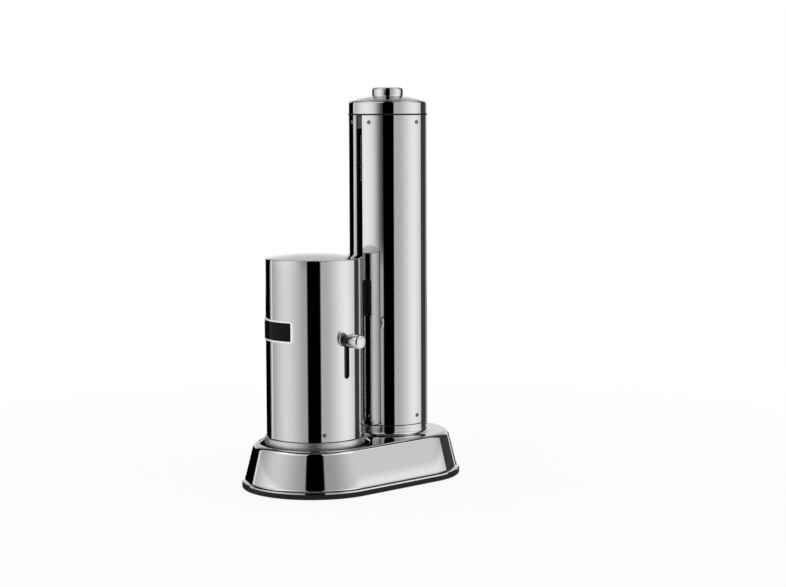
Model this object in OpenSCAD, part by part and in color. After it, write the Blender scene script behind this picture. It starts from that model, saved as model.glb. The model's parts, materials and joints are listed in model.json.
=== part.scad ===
// Sparkling water maker: a gas tower and a sliding chamber on one long base.
// The origin is on the floor, midway between the chamber axis and the tower axis.
// The chamber stands towards -Y, the tower towards +Y and the side lever points to +X.

/* [Overall] */
// Height from the floor to the top of the button
total_h = 413; // [408:1:425]
// Distance between the chamber axis and the tower axis
axis_gap = 106; // [106:0.5:112]

/* [Base] */
// Radius of the round ends of the rubber foot
foot_r = 76; // [75:0.5:82]
// Height of the rubber foot
foot_h = 5.2; // [4:0.1:6]
// How far the rubber foot stands out past the steel
foot_proud = 0.7; // [0.3:0.1:1.5]
// Width of the rubber foot, measured inwards
foot_w = 10; // [9.5:0.5:11]
// Height of the base, with its rubber foot
base_h = 46.5; // [45:0.5:50]
// Thickness of the steel sheet of the base
sheet_t = 1.5; // [1:0.1:1.8]
// Lean of the skirt from upright, in degrees
skirt_lean = 14; // [11:0.5:14.5]
// Rounding between the skirt and the top of the base
top_round = 5.5; // [4:0.5:6]
// Height of the bead at the lower edge of the skirt
bead_h = 1.6; // [1:0.1:2.2]
// How far the skirt flares out at the bead
flare_w = 2.6; // [1.5:0.1:2.8]
// Height of the flare above the bead
flare_h = 2.8; // [2:0.1:4]
// Radius of the round recess that the chamber stands in
recess_r = 56.5; // [56:0.1:57.2]
// Rounding of the rim of the recess
recess_round = 2; // [1:0.1:2.2]
// Depth of the recess, down to the ledge of the seat
recess_depth = 10.5; // [9.5:0.1:12]
// Thickness of the frame plate inside the base
frame_t = 4; // [3:0.5:5]
// Thickness of the cover under the base
cover_t = 3; // [2:0.1:4]

/* [Seat] */
// Radius of the seat bore in the base
seat_r = 43; // [42:0.1:43.3]
// Thickness of the walls of the seat cup
seat_wall = 2.5; // [2:0.1:3]
// Thickness of the floor of the seat cup
seat_floor_t = 1.8; // [1.5:0.1:2.5]
// Thickness of the rubber pad on the seat floor
pad_t = 2; // [1:0.1:3]

/* [Gas tower] */
// Outer radius of the tower tube
tower_r = 41.5; // [41.3:0.1:43]
// Wall of the tower tube
tower_wall = 1.2; // [0.8:0.1:1.5]
// Height of the collar at the foot of the tower
collar_h = 10.1; // [9:0.1:12]
// Radius of the fillet from the collar to the base
collar_fillet = 4; // [2:0.5:5]
// Thickness of the dark seam rings
seam_t = 0.7; // [0.3:0.05:0.8]
// Thickness of the dark ring under the cap
cap_seam_t = 1.3; // [0.5:0.1:1.6]
// Height of the cap from its seam to the top of its dome
cap_h = 19.7; // [18:0.1:24]
// Rise of the dome of the cap
cap_dome = 6; // [4:0.5:7]
// Rounding of the upper edge of the cap
cap_round = 2.5; // [1.5:0.1:3]
// Wall of the cap
cap_wall = 1.5; // [1:0.1:1.8]
// Width of the long slot that the slide arm runs in
slot_w = 9; // [8.6:0.1:11]
// Length of the long slot below the arm of the chamber
slot_spare = 22; // [10:1:24]
// Wall of the two rings that the tower tube is screwed to
ring_wall = 4.1; // [3.5:0.1:4.3]
// Radius of the guide rails
rail_r = 2.5; // [2:0.1:2.6]
// Distance between the two guide rails
rail_gap = 26; // [25:0.5:27]

/* [Button] */
// Radius of the button
button_r = 16.5; // [14:0.5:18]
// Height of the button above the top of the cap dome
button_show = 8; // [7:0.5:10]
// Length of the skirt of the button
button_len = 20; // [18:0.5:21]
// Thickness of the walls of the button
button_wall = 2; // [1.5:0.1:2.5]
// Travel of the button
button_travel = 5; // [3:0.5:5]
// Radius of the button stem
stem_r = 4; // [3:0.1:4.5]
// Wire thickness of the button spring
spring_wire = 1.4; // [1:0.1:1.6]
// Number of curls of the button spring
spring_curls = 6; // [4:1:7]

/* [Gas cylinder] */
// Radius of the gas cylinder
gas_r = 30; // [28:0.5:30]
// Depth of the top of the cylinder valve below the head frame
valve_drop = 6.5; // [5:0.5:8]
// Wall of the gas cylinder
gas_wall = 3.5; // [2.5:0.1:4]
// Radius of the threaded end of the cylinder valve
thread_r = 10.5; // [10:0.1:11]

/* [Chamber] */
// Outer radius of the chamber shell
chamber_r = 50; // [49.8:0.1:50.4]
// Wall of the chamber shell
chamber_wall = 1.2; // [0.8:0.1:1.3]
// Height of the chamber from its lower edge to the top of its dome
chamber_h = 198.5; // [198:0.5:202]
// How far the chamber sinks into the recess of the base
chamber_sink = 2; // [1:0.1:2.5]
// Height of the collar at the foot of the chamber
chamber_collar_h = 8.7; // [7:0.1:9.5]
// How far the chamber collar stands out past the shell
chamber_collar_w = 2; // [1:0.1:2.4]
// Rise of the dome of the lid
lid_dome = 4.2; // [3.6:0.1:4.5]
// Rounding of the edge of the lid
lid_round = 1.3; // [1:0.1:1.8]
// Wall of the lid
lid_wall = 1.5; // [1:0.1:1.6]
// Wall of the inner liner of the chamber
liner_wall = 1.3; // [1:0.05:1.35]
// How far the chamber slides up the tower
chamber_travel = 138; // [120:1:138]

/* [Slide] */
// Width of the arm that joins the chamber to the slider
arm_w = 8; // [7:0.1:8]
// Depth of the lower end of the slider below the top of the chamber shell
slider_drop = 69.5; // [66:0.5:72]
// Length of the slider along the rails
slider_len = 45; // [40:1:46]
// Width of the slider across the rails
slider_w = 36; // [35:0.5:38]

/* [Lever] */
// Height of the lever at rest
lever_z = 156.7; // [152:0.1:160]
// How far the lever is pulled down
lever_travel = 36; // [30:0.5:36]
// Width of the slot of the lever
lever_slot_w = 6.6; // [6.4:0.1:7.4]
// Radius of the lever knob
knob_r = 7.2; // [6:0.1:8]
// Length of the lever knob
knob_len = 16.5; // [13:0.5:20]
// Bevel on the edges of the lever knob
knob_bevel = 1.2; // [0.5:0.1:1.5]
// Length of the dark bush between the shell and the knob
bush_len = 4.7; // [3:0.1:6]
// Radius of the dark bush
bush_r = 5.5; // [5:0.1:6]

/* [Nozzle] */
// Distance from the yoke pivot to the rod at its far end
yoke_arm = 40; // [39:0.5:41]
// Distance from the yoke pivot to the nozzle pins
yoke_crank = 7; // [6.6:0.1:7.2]
// Depth of the yoke pivot below the top of the lid
yoke_drop = 28; // [27.8:0.1:28.6]
// Outer radius of the nozzle bell
bell_r = 22; // [21:0.1:22]
// Radius of the nozzle pipe
pipe_r = 2.5; // [2:0.1:3]
// Length of the nozzle pipe below the bridge
pipe_len = 114; // [80:1:118]
// Depth of the seal below the top of the nozzle bell
seal_depth = 9.45; // [9:0.05:10]

/* [Name plate] */
// Width of the name plate
plate_w = 51; // [40:0.5:56]
// Height of the name plate
plate_h = 22; // [16:0.2:24]
// Height of the middle of the name plate
plate_z = 165.9; // [155:0.1:185]
// Turn of the name plate from the front, in degrees
plate_turn = -7; // [-10:0.5:4]
// Width of the bright rim of the name plate
plate_rim = 1.5; // [0.8:0.1:2]
// Corner radius of the name plate
plate_corner = 2.2; // [1:0.1:3]

/* [Hidden] */

$fn = 96;

// Clearances between pieces that do not move against each other
fit_gap = 0.05;
// Clearances between pieces that slide close together
run_gap = 0.05;
// Open gaps around pieces that move past each other
free_gap = 0.3;
// How far a cut runs past the face that it opens
over = 1;

// Base
seat_outer_r = seat_r + seat_wall;
skirt_r = foot_r - foot_proud;
foot_round = 0.8;
lip_h = 3.5;
frame_rim_w = 2;
frame_inset = 6.1;
frame_r = skirt_r - frame_inset;
frame_z = foot_h + cover_t;
frame_top = frame_z + frame_t;
port_gap = 1.5;
gas_port_r = gas_r + port_gap;
cover_r = frame_r - frame_rim_w - free_gap;
boss_r = 4;
boss_h = 6;
boss_x = (frame_r + seat_outer_r) / 2;
screw_r = 1.5;
cover_head_r = 3;
cover_head_h = 1.5;
cover_screw_len = cover_t + frame_t + boss_h - free_gap;
shoulder_h = 4;
shoulder_w = 4.5;
shoulder_r = tower_r + shoulder_w;

// Seat
seat_low = frame_top;
pad_low = seat_low + seat_floor_t;
pad_top = pad_low + pad_t;
ledge_z = base_h - recess_depth;
ledge_t = 2;
wall_outer_r = recess_r + sheet_t;
pad_r = seat_r - seat_wall;
chamber_low = base_h - chamber_sink;
chamber_top = chamber_low + chamber_h;
lid_edge_z = chamber_top - lid_dome;
shell_top = lid_edge_z - lid_round;
slider_low = shell_top - slider_drop;
slider_top = slider_low + slider_len;
arm_edge = 4;
arm_low = slider_low + arm_edge;
arm_h = slider_len - 2 * arm_edge;
landing_w = 3.5;

// Tower
tower_in_r = tower_r - tower_wall;
ring_fit = 0.2;
ring_r = tower_in_r - ring_fit;
ring_in_r = ring_r - ring_wall;
cap_top = total_h - button_show;
cap_low = cap_top - cap_h;
tower_top = cap_low - cap_seam_t;
collar_top = base_h + collar_h;
tower_low = collar_top + seam_t;
slot_low = arm_low - slot_spare;
groove_d = 0.5;
groove_drop = 3.2;
groove_z = collar_top - groove_drop;
ring_lap = 17;
low_ring_top = tower_low + ring_lap;
head_h = 14;
head_low = tower_top - head_h;
head_floor_t = 3.5;
high_screw_edge = 7.4;
low_screw_edge = 9.1;
screw_low_z = tower_low + low_screw_edge;
screw_high_z = tower_top - high_screw_edge;
front_screw_turn = 18;
side_screw_turn = 93;
tower_screw_turns = [-side_screw_turn, -front_screw_turn, front_screw_turn, side_screw_turn];
chamber_screw_turns = [-60, 60, 180];
head_r = 2.2;
head_h_screw = 0.9;
socket_share = 0.42;
tower_screw_len = tower_wall + ring_fit + ring_wall;
seam_proud = 0.5;
cap_edge_r = tower_r - cap_round;
cap_edge_z = cap_top - cap_dome;
cap_in_r = tower_r - cap_wall;
cap_ball_r = (pow(cap_edge_r, 2) + pow(cap_dome, 2)) / (2 * cap_dome);

// Button
button_top = total_h;
button_low = button_top - button_len;
button_round = 2.2;
button_hole_r = button_r + free_gap;
stop_w = 2;
stop_t = 2;
stop_top = cap_top - cap_dome_drop(button_hole_r + stop_w) - cap_wall - free_gap;
guide_low = tower_top;
guide_t = 3.5;
guide_top = guide_low + guide_t;
button_floor = button_top - button_wall;
stem_show = 1;
stem_low = guide_low - stem_show;
spring_r = (stem_r + button_r - button_wall) / 2;
spring_low = guide_top;
spring_top = button_floor;

// Valve
block_r = 22;
block_flange_r = 27.5;
block_flange_t = 4;
block_top = head_low + head_floor_t + block_flange_t;
gas_lift = 1.3;
gas_low = foot_h + gas_lift;
valve_top = head_low - valve_drop;
thread_len = 27.5;
valve_neck_z = valve_top - thread_len;
valve_flange_h = 8;
valve_flange_r = 13;
valve_tail_r = 8;
valve_tail_len = 18;
neck_h = 10;
neck_r = 14;
shoulder_bend = 18;
gas_shoulder_z = valve_neck_z - valve_flange_h - neck_h - shoulder_bend;
gas_bottom_round = 6;
washer_t = 1;
washer_hole_r = 3;
socket_gap = 0.1;
thread_show = 4;
block_low = valve_neck_z + thread_show;
pin_r = 1.5;
rod_r = 2;
pin_show = 0.7;
rod_low = valve_top + pin_show;
pin_len = 14;
pin_bore_len = pin_len + button_travel + 2 * over;
block_screw_r = 1.25;
block_screw_len = 6.5;
block_screw_ring_r = (block_r + block_flange_r) / 2;
elbow_r = 2.4;
elbow_gap = 0.6;
outlet_z = head_low - elbow_r - elbow_gap;
elbow_low = outlet_z - 3 * elbow_r;
nose_len = 5;
feed_r = 1.2;
feed_wall = 0.75;
sleeve_r = feed_r + run_gap + feed_wall;
feed_x = 7;
sleeve_gap = 0.2;
feed_ring_r = ring_in_r - sleeve_r - sleeve_gap;
feed_turn = asin(feed_x / feed_ring_r);
feed_overlap = 10;
feed_low = slider_top - feed_overlap;
sleeve_spare = 4;
sleeve_floor_t = 1;
sleeve_low = feed_low - chamber_travel - sleeve_spare;

// Chamber
chamber_in_r = chamber_r - chamber_wall;
lid_edge_r = chamber_r - lid_round;
chamber_collar_top = chamber_low + chamber_collar_h;
shell_low = chamber_collar_top + seam_t;
collar_out_r = chamber_r + chamber_collar_w;
collar_round = 0.8;
lid_ball_r = (pow(lid_edge_r, 2) + pow(lid_dome, 2)) / (2 * lid_dome);
spigot_r = chamber_in_r - 2 * fit_gap;
spigot_t = 1.1;
spigot_in_r = spigot_r - spigot_t;
spigot_h = 8.5;
liner_step = 0.4;
liner_r = seat_r + liner_step + liner_wall;
liner_in_r = liner_r - liner_wall;
liner_rise = 18;
liner_top = slider_low + liner_rise;
liner_lift = 1.5;
liner_low = chamber_low + liner_lift;
collar_spigot_h = 14.4;
chamber_screw_edge = 7.1;
chamber_screw_z = shell_low + chamber_screw_edge;
chamber_screw_len = chamber_r - liner_r - fit_gap;

// Slide
chamber_y = -axis_gap / 2;
tower_y = axis_gap / 2;
slider_gap = 0.4;
slider_out_r = tower_in_r - slider_gap;
gas_gap = 1;
slider_in_r = gas_r + gas_gap;
rail_shift = 2.4;
rail_y = rail_shift - (slider_in_r + slider_out_r) / 2;
rail_sink = 5;
notch_depth = 2;
arm_end_y = tower_y - slider_out_r + notch_depth;
saddle_t = 2;
saddle_turn = 16;
arm_screw_inset = 5;
arm_screw_zs = [arm_low + arm_screw_inset, arm_low + arm_h - arm_screw_inset];
arm_screw_len = 5;
arm_head_r = 2.8;
arm_head_h = 1.6;
slider_screw_zs = [arm_low + 3 * arm_screw_inset, arm_low + arm_h - 3 * arm_screw_inset];
slider_screw_len = slider_out_r - notch_depth - slider_in_r + arm_screw_len;
passage_z = arm_low + arm_h / 2;
passage_r = 1.5;

// Lever and yoke
stem_gap = 0.2;
stem_rod_r = lever_slot_w / 2 - stem_gap;
stem_tip_r = 2;
strap_t = 2;
strap_gap = 0.4;
strap_in_r = liner_r + strap_gap;
strap_out_r = strap_in_r + strap_t;
strap_w = 13;
strap_foot = 48;
bush_x = chamber_r + free_gap;
knob_x = bush_x + bush_len;
stem_sink = 10;
half_swing = asin(lever_travel / (2 * yoke_arm));
yoke_x = -yoke_crank;
yoke_z = chamber_top - yoke_drop;
yoke_rod_r = 2.5;
rod_slack = 0.4;
rod_rest_z = yoke_z + lever_travel / 2;
rod_near_x = yoke_x + yoke_arm * cos(half_swing);
rod_far_x = yoke_x + yoke_arm;
tab_half_h = 4;
tab_t = 4;
nozzle_travel = 2 * yoke_crank * tan(half_swing);
nozzle_pin_r = 1.8;
nozzle_pin_z = yoke_z + nozzle_travel / 2;
yoke_plate_t = 3;
yoke_plate_h = 7;
yoke_end_r = 4;
yoke_gap = 0.5;
yoke_plate_y = bell_r + yoke_gap;
yoke_out_y = yoke_plate_y + yoke_plate_t;
pivot_r = 2;

// Bridge and nozzle
bridge_t = 4.5;
bridge_gap = 0.5;
bridge_low = shell_top - bridge_t - bridge_gap;
bridge_w = 26;
duct_r = 1;
duct_z = bridge_low + bridge_t / 2;
ear_t = 3;
ear_w = 9;
ear_y = yoke_out_y + yoke_gap;
spigot_post_r = 8;
seal_t = 3;
bell_gap = 2;
bell_top = bridge_low - bell_gap;
bell_wall = 2;
seal_low = bell_top - seal_depth;
bell_skirt = 14;
bell_low = seal_low - bell_skirt;
post_sink = 1;
post_low = seal_low + post_sink;
seal_out_r = bell_r - bell_wall - fit_gap;
relief_r = 4;
relief_len = 14;
relief_tip_r = 3;
relief_y = -36;
elbow_in_y = chamber_in_r - 2 * elbow_r;
hose_r = 2.2;
hose_nose_r = 1.3;
hose_low = passage_z + 2 * elbow_r;

// Name plate
plate_t = 1.3;
plate_inlay_t = 0.9;
plate_low_r = chamber_r + fit_gap;

// Colours
steel = [0.80, 0.81, 0.83];
dark_steel = [0.55, 0.56, 0.58];
black = [0.05, 0.05, 0.055];
grey_plastic = [0.32, 0.33, 0.34];
rubber_black = [0.03, 0.03, 0.03];
brass = [0.78, 0.62, 0.32];
alloy = [0.68, 0.69, 0.70];
cast_grey = [0.45, 0.46, 0.48];
cylinder_paint = [0.06, 0.065, 0.07];

// Points on an arc, from one angle to another
function arc(cx, cy, r, from, to, steps = 8) = [
    for (i = [0:steps])
        let (a = from + (to - from) * i / steps)
        [cx + r * cos(a), cy + r * sin(a)]
];

// Drop of the cap dome below its top, at a distance from the axis
function cap_dome_drop(r) = cap_ball_r - sqrt(pow(cap_ball_r, 2) - pow(r, 2));

// Drop of the lid dome below its top, at a distance from the axis
function lid_dome_drop(r) = lid_ball_r - sqrt(pow(lid_ball_r, 2) - pow(r, 2));

// Points on a dome, from its edge to its middle
function dome(edge_r, end_r, ball_r, top, steps = 8) = [
    for (i = [0:steps])
        let (r = edge_r + (end_r - edge_r) * i / steps)
        [r, top - ball_r + sqrt(pow(ball_r, 2) - pow(r, 2))]
];

// Outline of the skirt from the bead to the top, moved in by an inset
function skirt_outline(inset) =
    let (
        flare_low = foot_h + bead_h,
        flare_top = flare_low + flare_h,
        lean_r = skirt_r - flare_w,
        bend_z = base_h - top_round,
        touch_z = bend_z + top_round * sin(skirt_lean),
        touch_r = lean_r - (touch_z - flare_top) * tan(skirt_lean),
        bend_r = touch_r - top_round * cos(skirt_lean),
        shift = inset / cos(skirt_lean)
    )
    concat(
        [[skirt_r - shift, foot_h], [skirt_r - shift, flare_low]],
        [for (t = [0.2:0.2:1]) [lean_r - shift + flare_w * pow(1 - t, 2), flare_low + flare_h * t]],
        arc(bend_r, bend_z, top_round - inset, skirt_lean, 90)
    );

module at_chamber() {
    translate([0, chamber_y, 0]) children();
}

module at_tower() {
    translate([0, tower_y, 0]) children();
}

// Upright cylinder between two heights
module post(r, low, high) {
    translate([0, 0, low]) cylinder(r = r, h = high - low);
}

// Upright ring between two heights
module ring(out_r, in_r, low, high) {
    difference() {
        post(out_r, low, high);
        post(in_r, low - over, high + over);
    }
}

// Rod that points outwards at a turn from the front, between two distances
module spoke(r, turn, z, from, to) {
    rotate([0, 0, turn]) translate([0, -from, z]) rotate([90, 0, 0]) cylinder(r = r, h = to - from);
}

// Rod along X between two places
module rod_x(r, y, z, from, to) {
    translate([from, y, z]) rotate([0, 90, 0]) cylinder(r = r, h = to - from);
}

// Rod along Y between two places
module rod_y(r, x, z, from, to) {
    translate([x, to, z]) rotate([90, 0, 0]) cylinder(r = r, h = to - from);
}

// Long solid with round ends, turned from a half outline that closes on the axis
module long_turned(points) {
    translate([0, tower_y, 0]) rotate_extrude(angle = 180) polygon(points);
    translate([0, chamber_y, 0]) rotate([0, 0, 180]) rotate_extrude(angle = 180) polygon(points);
    rotate([90, 0, 0])
        linear_extrude(height = axis_gap, center = true)
            polygon(concat(points, [for (i = [len(points) - 1:-1:0]) [-points[i][0], points[i][1]]]));
}

// Long plate with round ends between two heights
module long_plate(r, low, high) {
    long_turned([[0, low], [r, low], [r, high], [0, high]]);
}

// Small round screw that points inwards at a turn from the front
module wall_screw(turn, z, seat, length) {
    difference() {
        union() {
            spoke(screw_r, turn, z, seat - length, seat);
            rotate([0, 0, turn]) translate([0, -seat, z]) rotate([90, 0, 0])
                rotate_extrude()
                    polygon(concat([[0, 0]], arc(0, 0, 1, 0, 90, 4) * [[head_r, 0], [0, head_h_screw]]));
        }
        rotate([0, 0, turn]) translate([0, -seat - head_h_screw / 2, z]) rotate([90, 0, 0])
            cylinder(r = head_r * socket_share, h = head_h_screw, $fn = 6);
    }
}

// Rubber foot, a long ring under the skirt
module rubber_foot() {
    color(rubber_black)
        difference() {
            long_turned([
                [0, 0], [foot_r - foot_round, 0], [foot_r, foot_round], [foot_r, foot_h], [0, foot_h]
            ]);
            long_plate(foot_r - foot_w, -over, foot_h + over);
        }
}

// Steel skirt and top of the base, open below
module base_shell() {
    outer = skirt_outline(0);
    inner = skirt_outline(sheet_t);
    color(steel) {
        difference() {
            long_turned(concat([[0, foot_h]], outer, [[0, base_h]]));
            long_turned(concat(
                [[0, foot_h - over], [inner[0][0], foot_h - over]], inner, [[0, base_h - sheet_t]]
            ));
            at_chamber() post(recess_r + recess_round, base_h - 2 * sheet_t, base_h + over);
            at_tower() post(ring_r + fit_gap, base_h - 2 * sheet_t, base_h + over);
        }
        at_chamber() rotate_extrude() polygon(concat(
            [[recess_r, base_h - lip_h], [recess_r + sheet_t, base_h - lip_h]],
            [[recess_r + recess_round, base_h - sheet_t]],
            arc(recess_r + recess_round, base_h - recess_round, recess_round, 90, 180, 6)
        ));
    }
}

// Frame plate in the base, with the socket that the tower stands in
module base_frame() {
    color(cast_grey)
        difference() {
            union() {
                long_plate(frame_r, frame_z, frame_top);
                difference() {
                    long_plate(frame_r, foot_h, frame_z + over);
                    long_plate(frame_r - frame_rim_w, foot_h - over, frame_z + 2 * over);
                }
                at_tower() post(ring_r, frame_z, low_ring_top);
                at_tower() post(shoulder_r, base_h - sheet_t - shoulder_h, base_h - sheet_t);
                boss_places() post(boss_r, frame_z, frame_top + boss_h);
            }
            at_tower() post(gas_port_r, foot_h - over, low_ring_top + over);
            at_tower() post(ring_in_r, frame_top, low_ring_top + over);
            boss_places() post(screw_r + fit_gap, frame_z - over, frame_z + cover_screw_len);
            at_tower() for (turn = tower_screw_turns)
                spoke(screw_r + fit_gap, turn, screw_low_z, ring_in_r - over, ring_r + over);
            at_tower() rail_places() post(rail_r + fit_gap, low_ring_top - rail_sink, low_ring_top + over);
        }
}

// Places of the six bosses of the base
module boss_places() {
    for (x = [-boss_x, boss_x], y = [chamber_y, 0, tower_y]) translate([x, y, 0]) children();
}

// Cover plate under the base
module bottom_cover() {
    color(black)
        difference() {
            long_plate(cover_r, foot_h, frame_z);
            at_tower() post(gas_port_r, foot_h - over, frame_z + over);
            boss_places() post(screw_r + free_gap, foot_h - over, frame_z + over);
            boss_places() post(cover_head_r + fit_gap, foot_h - over, foot_h + cover_head_h);
        }
}

// Six screws that hold the cover
module cover_screws() {
    color(dark_steel) boss_places() difference() {
        union() {
            post(cover_head_r, foot_h, foot_h + cover_head_h);
            post(screw_r, foot_h, foot_h + cover_screw_len);
        }
        translate([0, 0, foot_h - over])
            cylinder(r = cover_head_r * socket_share, h = over + cover_head_h / 2, $fn = 6);
    }
}

// Cup in the base, with its seat bore and a ledge round it
module seat_cup() {
    color(black) at_chamber() {
        difference() {
            union() {
                post(seat_outer_r, seat_low, ledge_z);
                post(wall_outer_r, ledge_z - ledge_t, base_h - lip_h);
            }
            post(seat_r, pad_top, base_h);
            post(pad_r + fit_gap, pad_low, base_h);
            post(recess_r, ledge_z, base_h);
        }
    }
}

// Rubber pad on the floor of the seat
module seat_pad() {
    color(rubber_black) at_chamber() post(pad_r, pad_low, pad_top);
}

// Rubber ring that the chamber comes down on
module landing_ring() {
    color(rubber_black) at_chamber()
        ring(chamber_r, chamber_r - landing_w, ledge_z, chamber_low - free_gap);
}

// Collar at the foot of the tower, with a fillet onto the base
module tower_collar() {
    color(steel) at_tower() rotate_extrude() polygon(concat(
        [[ring_r + fit_gap, base_h]],
        arc(tower_r + collar_fillet, base_h + collar_fillet, collar_fillet, 270, 180, 6),
        [[tower_r, groove_z], [tower_r - groove_d, groove_z]],
        [[tower_r - groove_d, groove_z + groove_d], [tower_r, groove_z + groove_d]],
        [[tower_r, collar_top], [ring_r + fit_gap, collar_top]]
    ));
}

// Dark seam ring between the collar and the tube
module tower_seam() {
    color(black) at_tower() ring(tower_r - groove_d, ring_r + fit_gap, collar_top, tower_low);
}

// Steel tube of the tower, with its long slot at the front
module tower_tube() {
    color(steel) at_tower() difference() {
        ring(tower_r, tower_in_r, tower_low, tower_top);
        translate([-slot_w / 2, -tower_r - over, slot_low]) cube([slot_w, tower_r, tower_top]);
        for (turn = tower_screw_turns, z = [screw_low_z, screw_high_z])
            spoke(screw_r + fit_gap, turn, z, tower_in_r - over, tower_r + over);
    }
}

// Screws round the foot of the tower
module tower_screws_low() {
    color(dark_steel) at_tower() for (turn = tower_screw_turns)
        wall_screw(turn, screw_low_z, tower_r, tower_screw_len);
}

// Screws round the top of the tower
module tower_screws_high() {
    color(dark_steel) at_tower() for (turn = tower_screw_turns)
        wall_screw(turn, screw_high_z, tower_r, tower_screw_len);
}

// Frame in the top of the tower that carries the valve block
module head_frame() {
    color(grey_plastic) at_tower() difference() {
        post(ring_r, head_low, tower_top);
        post(ring_in_r, head_low + head_floor_t, tower_top + over);
        post(block_r + fit_gap, head_low - over, tower_top);
        for (turn = tower_screw_turns)
            spoke(screw_r + fit_gap, turn, screw_high_z, ring_in_r - over, ring_r + over);
        block_screw_places() post(block_screw_r + fit_gap, head_low - over, tower_top);
        rail_places() post(rail_r + fit_gap, head_low - over, head_low + head_floor_t + over);
    }
}

// Dark ring under the cap
module cap_seam() {
    color(black) at_tower() ring(tower_r + seam_proud, ring_r, tower_top, cap_low);
}

// Domed cap of the tower, with the hole for the button
module tower_cap() {
    color(steel) at_tower() rotate_extrude() polygon(concat(
        [[cap_in_r, cap_low], [tower_r, cap_low]],
        arc(cap_edge_r, cap_edge_z - cap_round, cap_round, 0, 90),
        dome(cap_edge_r, button_hole_r, cap_ball_r, cap_top),
        dome(button_hole_r, cap_edge_r - cap_wall, cap_ball_r, cap_top - cap_wall),
        [[cap_in_r, cap_edge_z - cap_round - cap_wall]]
    ));
}

// Plate in the cap that guides the button and carries its spring
module button_guide() {
    color(grey_plastic) at_tower() ring(cap_in_r - fit_gap, stem_r + run_gap, guide_low, guide_top);
}

// Places of the two guide rails, from the tower axis
module rail_places() {
    for (side = [-1, 1]) translate([side * rail_gap / 2, rail_y, 0]) children();
}

// Two upright rails in the tower, behind the slot
module guide_rails() {
    color(dark_steel) at_tower() rail_places()
        post(rail_r, low_ring_top - rail_sink, head_low + head_floor_t);
}

// Places of the three screws of the valve block
module block_screw_places() {
    for (turn = [30, 150, 270]) rotate([0, 0, turn]) translate([block_screw_ring_r, 0, 0]) children();
}

// Valve block that the gas cylinder screws into
module valve_block() {
    color(cast_grey) at_tower() difference() {
        union() {
            post(block_r, block_low, block_top);
            post(block_flange_r, block_top - block_flange_t, block_top);
        }
        post(thread_r + socket_gap, block_low - over, valve_top + washer_t);
        post(rod_r + run_gap, valve_top, block_top + over);
        spoke(passage_r, feed_turn, outlet_z, 0, block_r + over);
        block_screw_places() post(block_screw_r + fit_gap, block_low, block_top + over);
    }
}

// Three screws that hold the valve block
module block_screws() {
    color(dark_steel) at_tower() block_screw_places() {
        post(block_screw_r, block_top - block_screw_len, block_top);
        post(head_r, block_top, block_top + head_h_screw);
    }
}

// Sealing washer between the cylinder valve and the block
module inlet_washer() {
    color(rubber_black) at_tower() ring(thread_r, washer_hole_r, valve_top, valve_top + washer_t);
}

// Place of the feed pipe, from the tower axis
module feed_place() {
    rotate([0, 0, feed_turn]) translate([0, -feed_ring_r, 0]) children();
}

// Elbow that leads the gas from the block to the feed pipe
module feed_elbow() {
    color(cast_grey) at_tower() difference() {
        union() {
            spoke(passage_r - fit_gap, feed_turn, outlet_z, block_r - nose_len, feed_ring_r);
            spoke(elbow_r, feed_turn, outlet_z, block_r + fit_gap, feed_ring_r);
            feed_place() post(elbow_r, elbow_low, outlet_z);
            feed_place() translate([0, 0, outlet_z]) sphere(r = elbow_r);
        }
        feed_place() post(feed_r + fit_gap, elbow_low - over, outlet_z - elbow_r);
    }
}

// Fixed pipe that hangs from the elbow into the sleeve of the slider
module feed_pipe() {
    color(dark_steel) at_tower() feed_place() ring(feed_r, feed_r / 2, feed_low, outlet_z - elbow_r);
}

// Sleeve on the slider that runs along the feed pipe
module feed_sleeve() {
    color(dark_steel) at_tower() feed_place() difference() {
        post(sleeve_r, sleeve_low, slider_top);
        post(feed_r + run_gap, sleeve_low + sleeve_floor_t, slider_top + over);
    }
}

// Triangles of a tube of rings, closed at both ends
function tube_faces(count, sides) = concat(
    [for (k = [1:sides - 2]) [0, k, k + 1]],
    [for (i = [0:count - 2], k = [0:sides - 1])
        let (n = (k + 1) % sides) [i * sides + k, (i + 1) * sides + k, (i + 1) * sides + n]],
    [for (i = [0:count - 2], k = [0:sides - 1])
        let (n = (k + 1) % sides) [i * sides + k, (i + 1) * sides + n, i * sides + n]],
    [for (k = [1:sides - 2]) let (f = (count - 1) * sides) [f, f + k + 1, f + k]]
);

// Gas cylinder with a round shoulder and a neck
module gas_cylinder() {
    shoulder_x = gas_r - shoulder_bend;
    neck_top = gas_shoulder_z + shoulder_bend + neck_h;
    color(cylinder_paint) at_tower() rotate_extrude() polygon(concat(
        [[0, gas_low]],
        arc(gas_r - gas_bottom_round, gas_low + gas_bottom_round, gas_bottom_round, 270, 360, 4),
        arc(shoulder_x, gas_shoulder_z, shoulder_bend, 0, acos((neck_r - shoulder_x) / shoulder_bend)),
        [[neck_r, neck_top], [valve_tail_r, neck_top]],
        [[valve_tail_r, gas_shoulder_z + shoulder_bend - gas_wall]],
        arc(shoulder_x, gas_shoulder_z, shoulder_bend - gas_wall, 90, 0),
        [[gas_r - gas_wall, gas_low + gas_bottom_round], [gas_r - gas_bottom_round, gas_low + gas_wall]],
        [[0, gas_low + gas_wall]]
    ));
}

// Brass valve screwed into the neck of the gas cylinder
module cylinder_valve() {
    neck_top = gas_shoulder_z + shoulder_bend + neck_h;
    color(brass) at_tower() difference() {
        union() {
            post(valve_tail_r - fit_gap, neck_top - valve_tail_len, neck_top);
            post(valve_flange_r, neck_top, neck_top + valve_flange_h);
            post(thread_r, neck_top, valve_top);
        }
        post(pin_r + run_gap, valve_top - pin_bore_len, valve_top + over);
        post(rod_r + free_gap, valve_top - button_travel - over, valve_top + over);
    }
}

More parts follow.
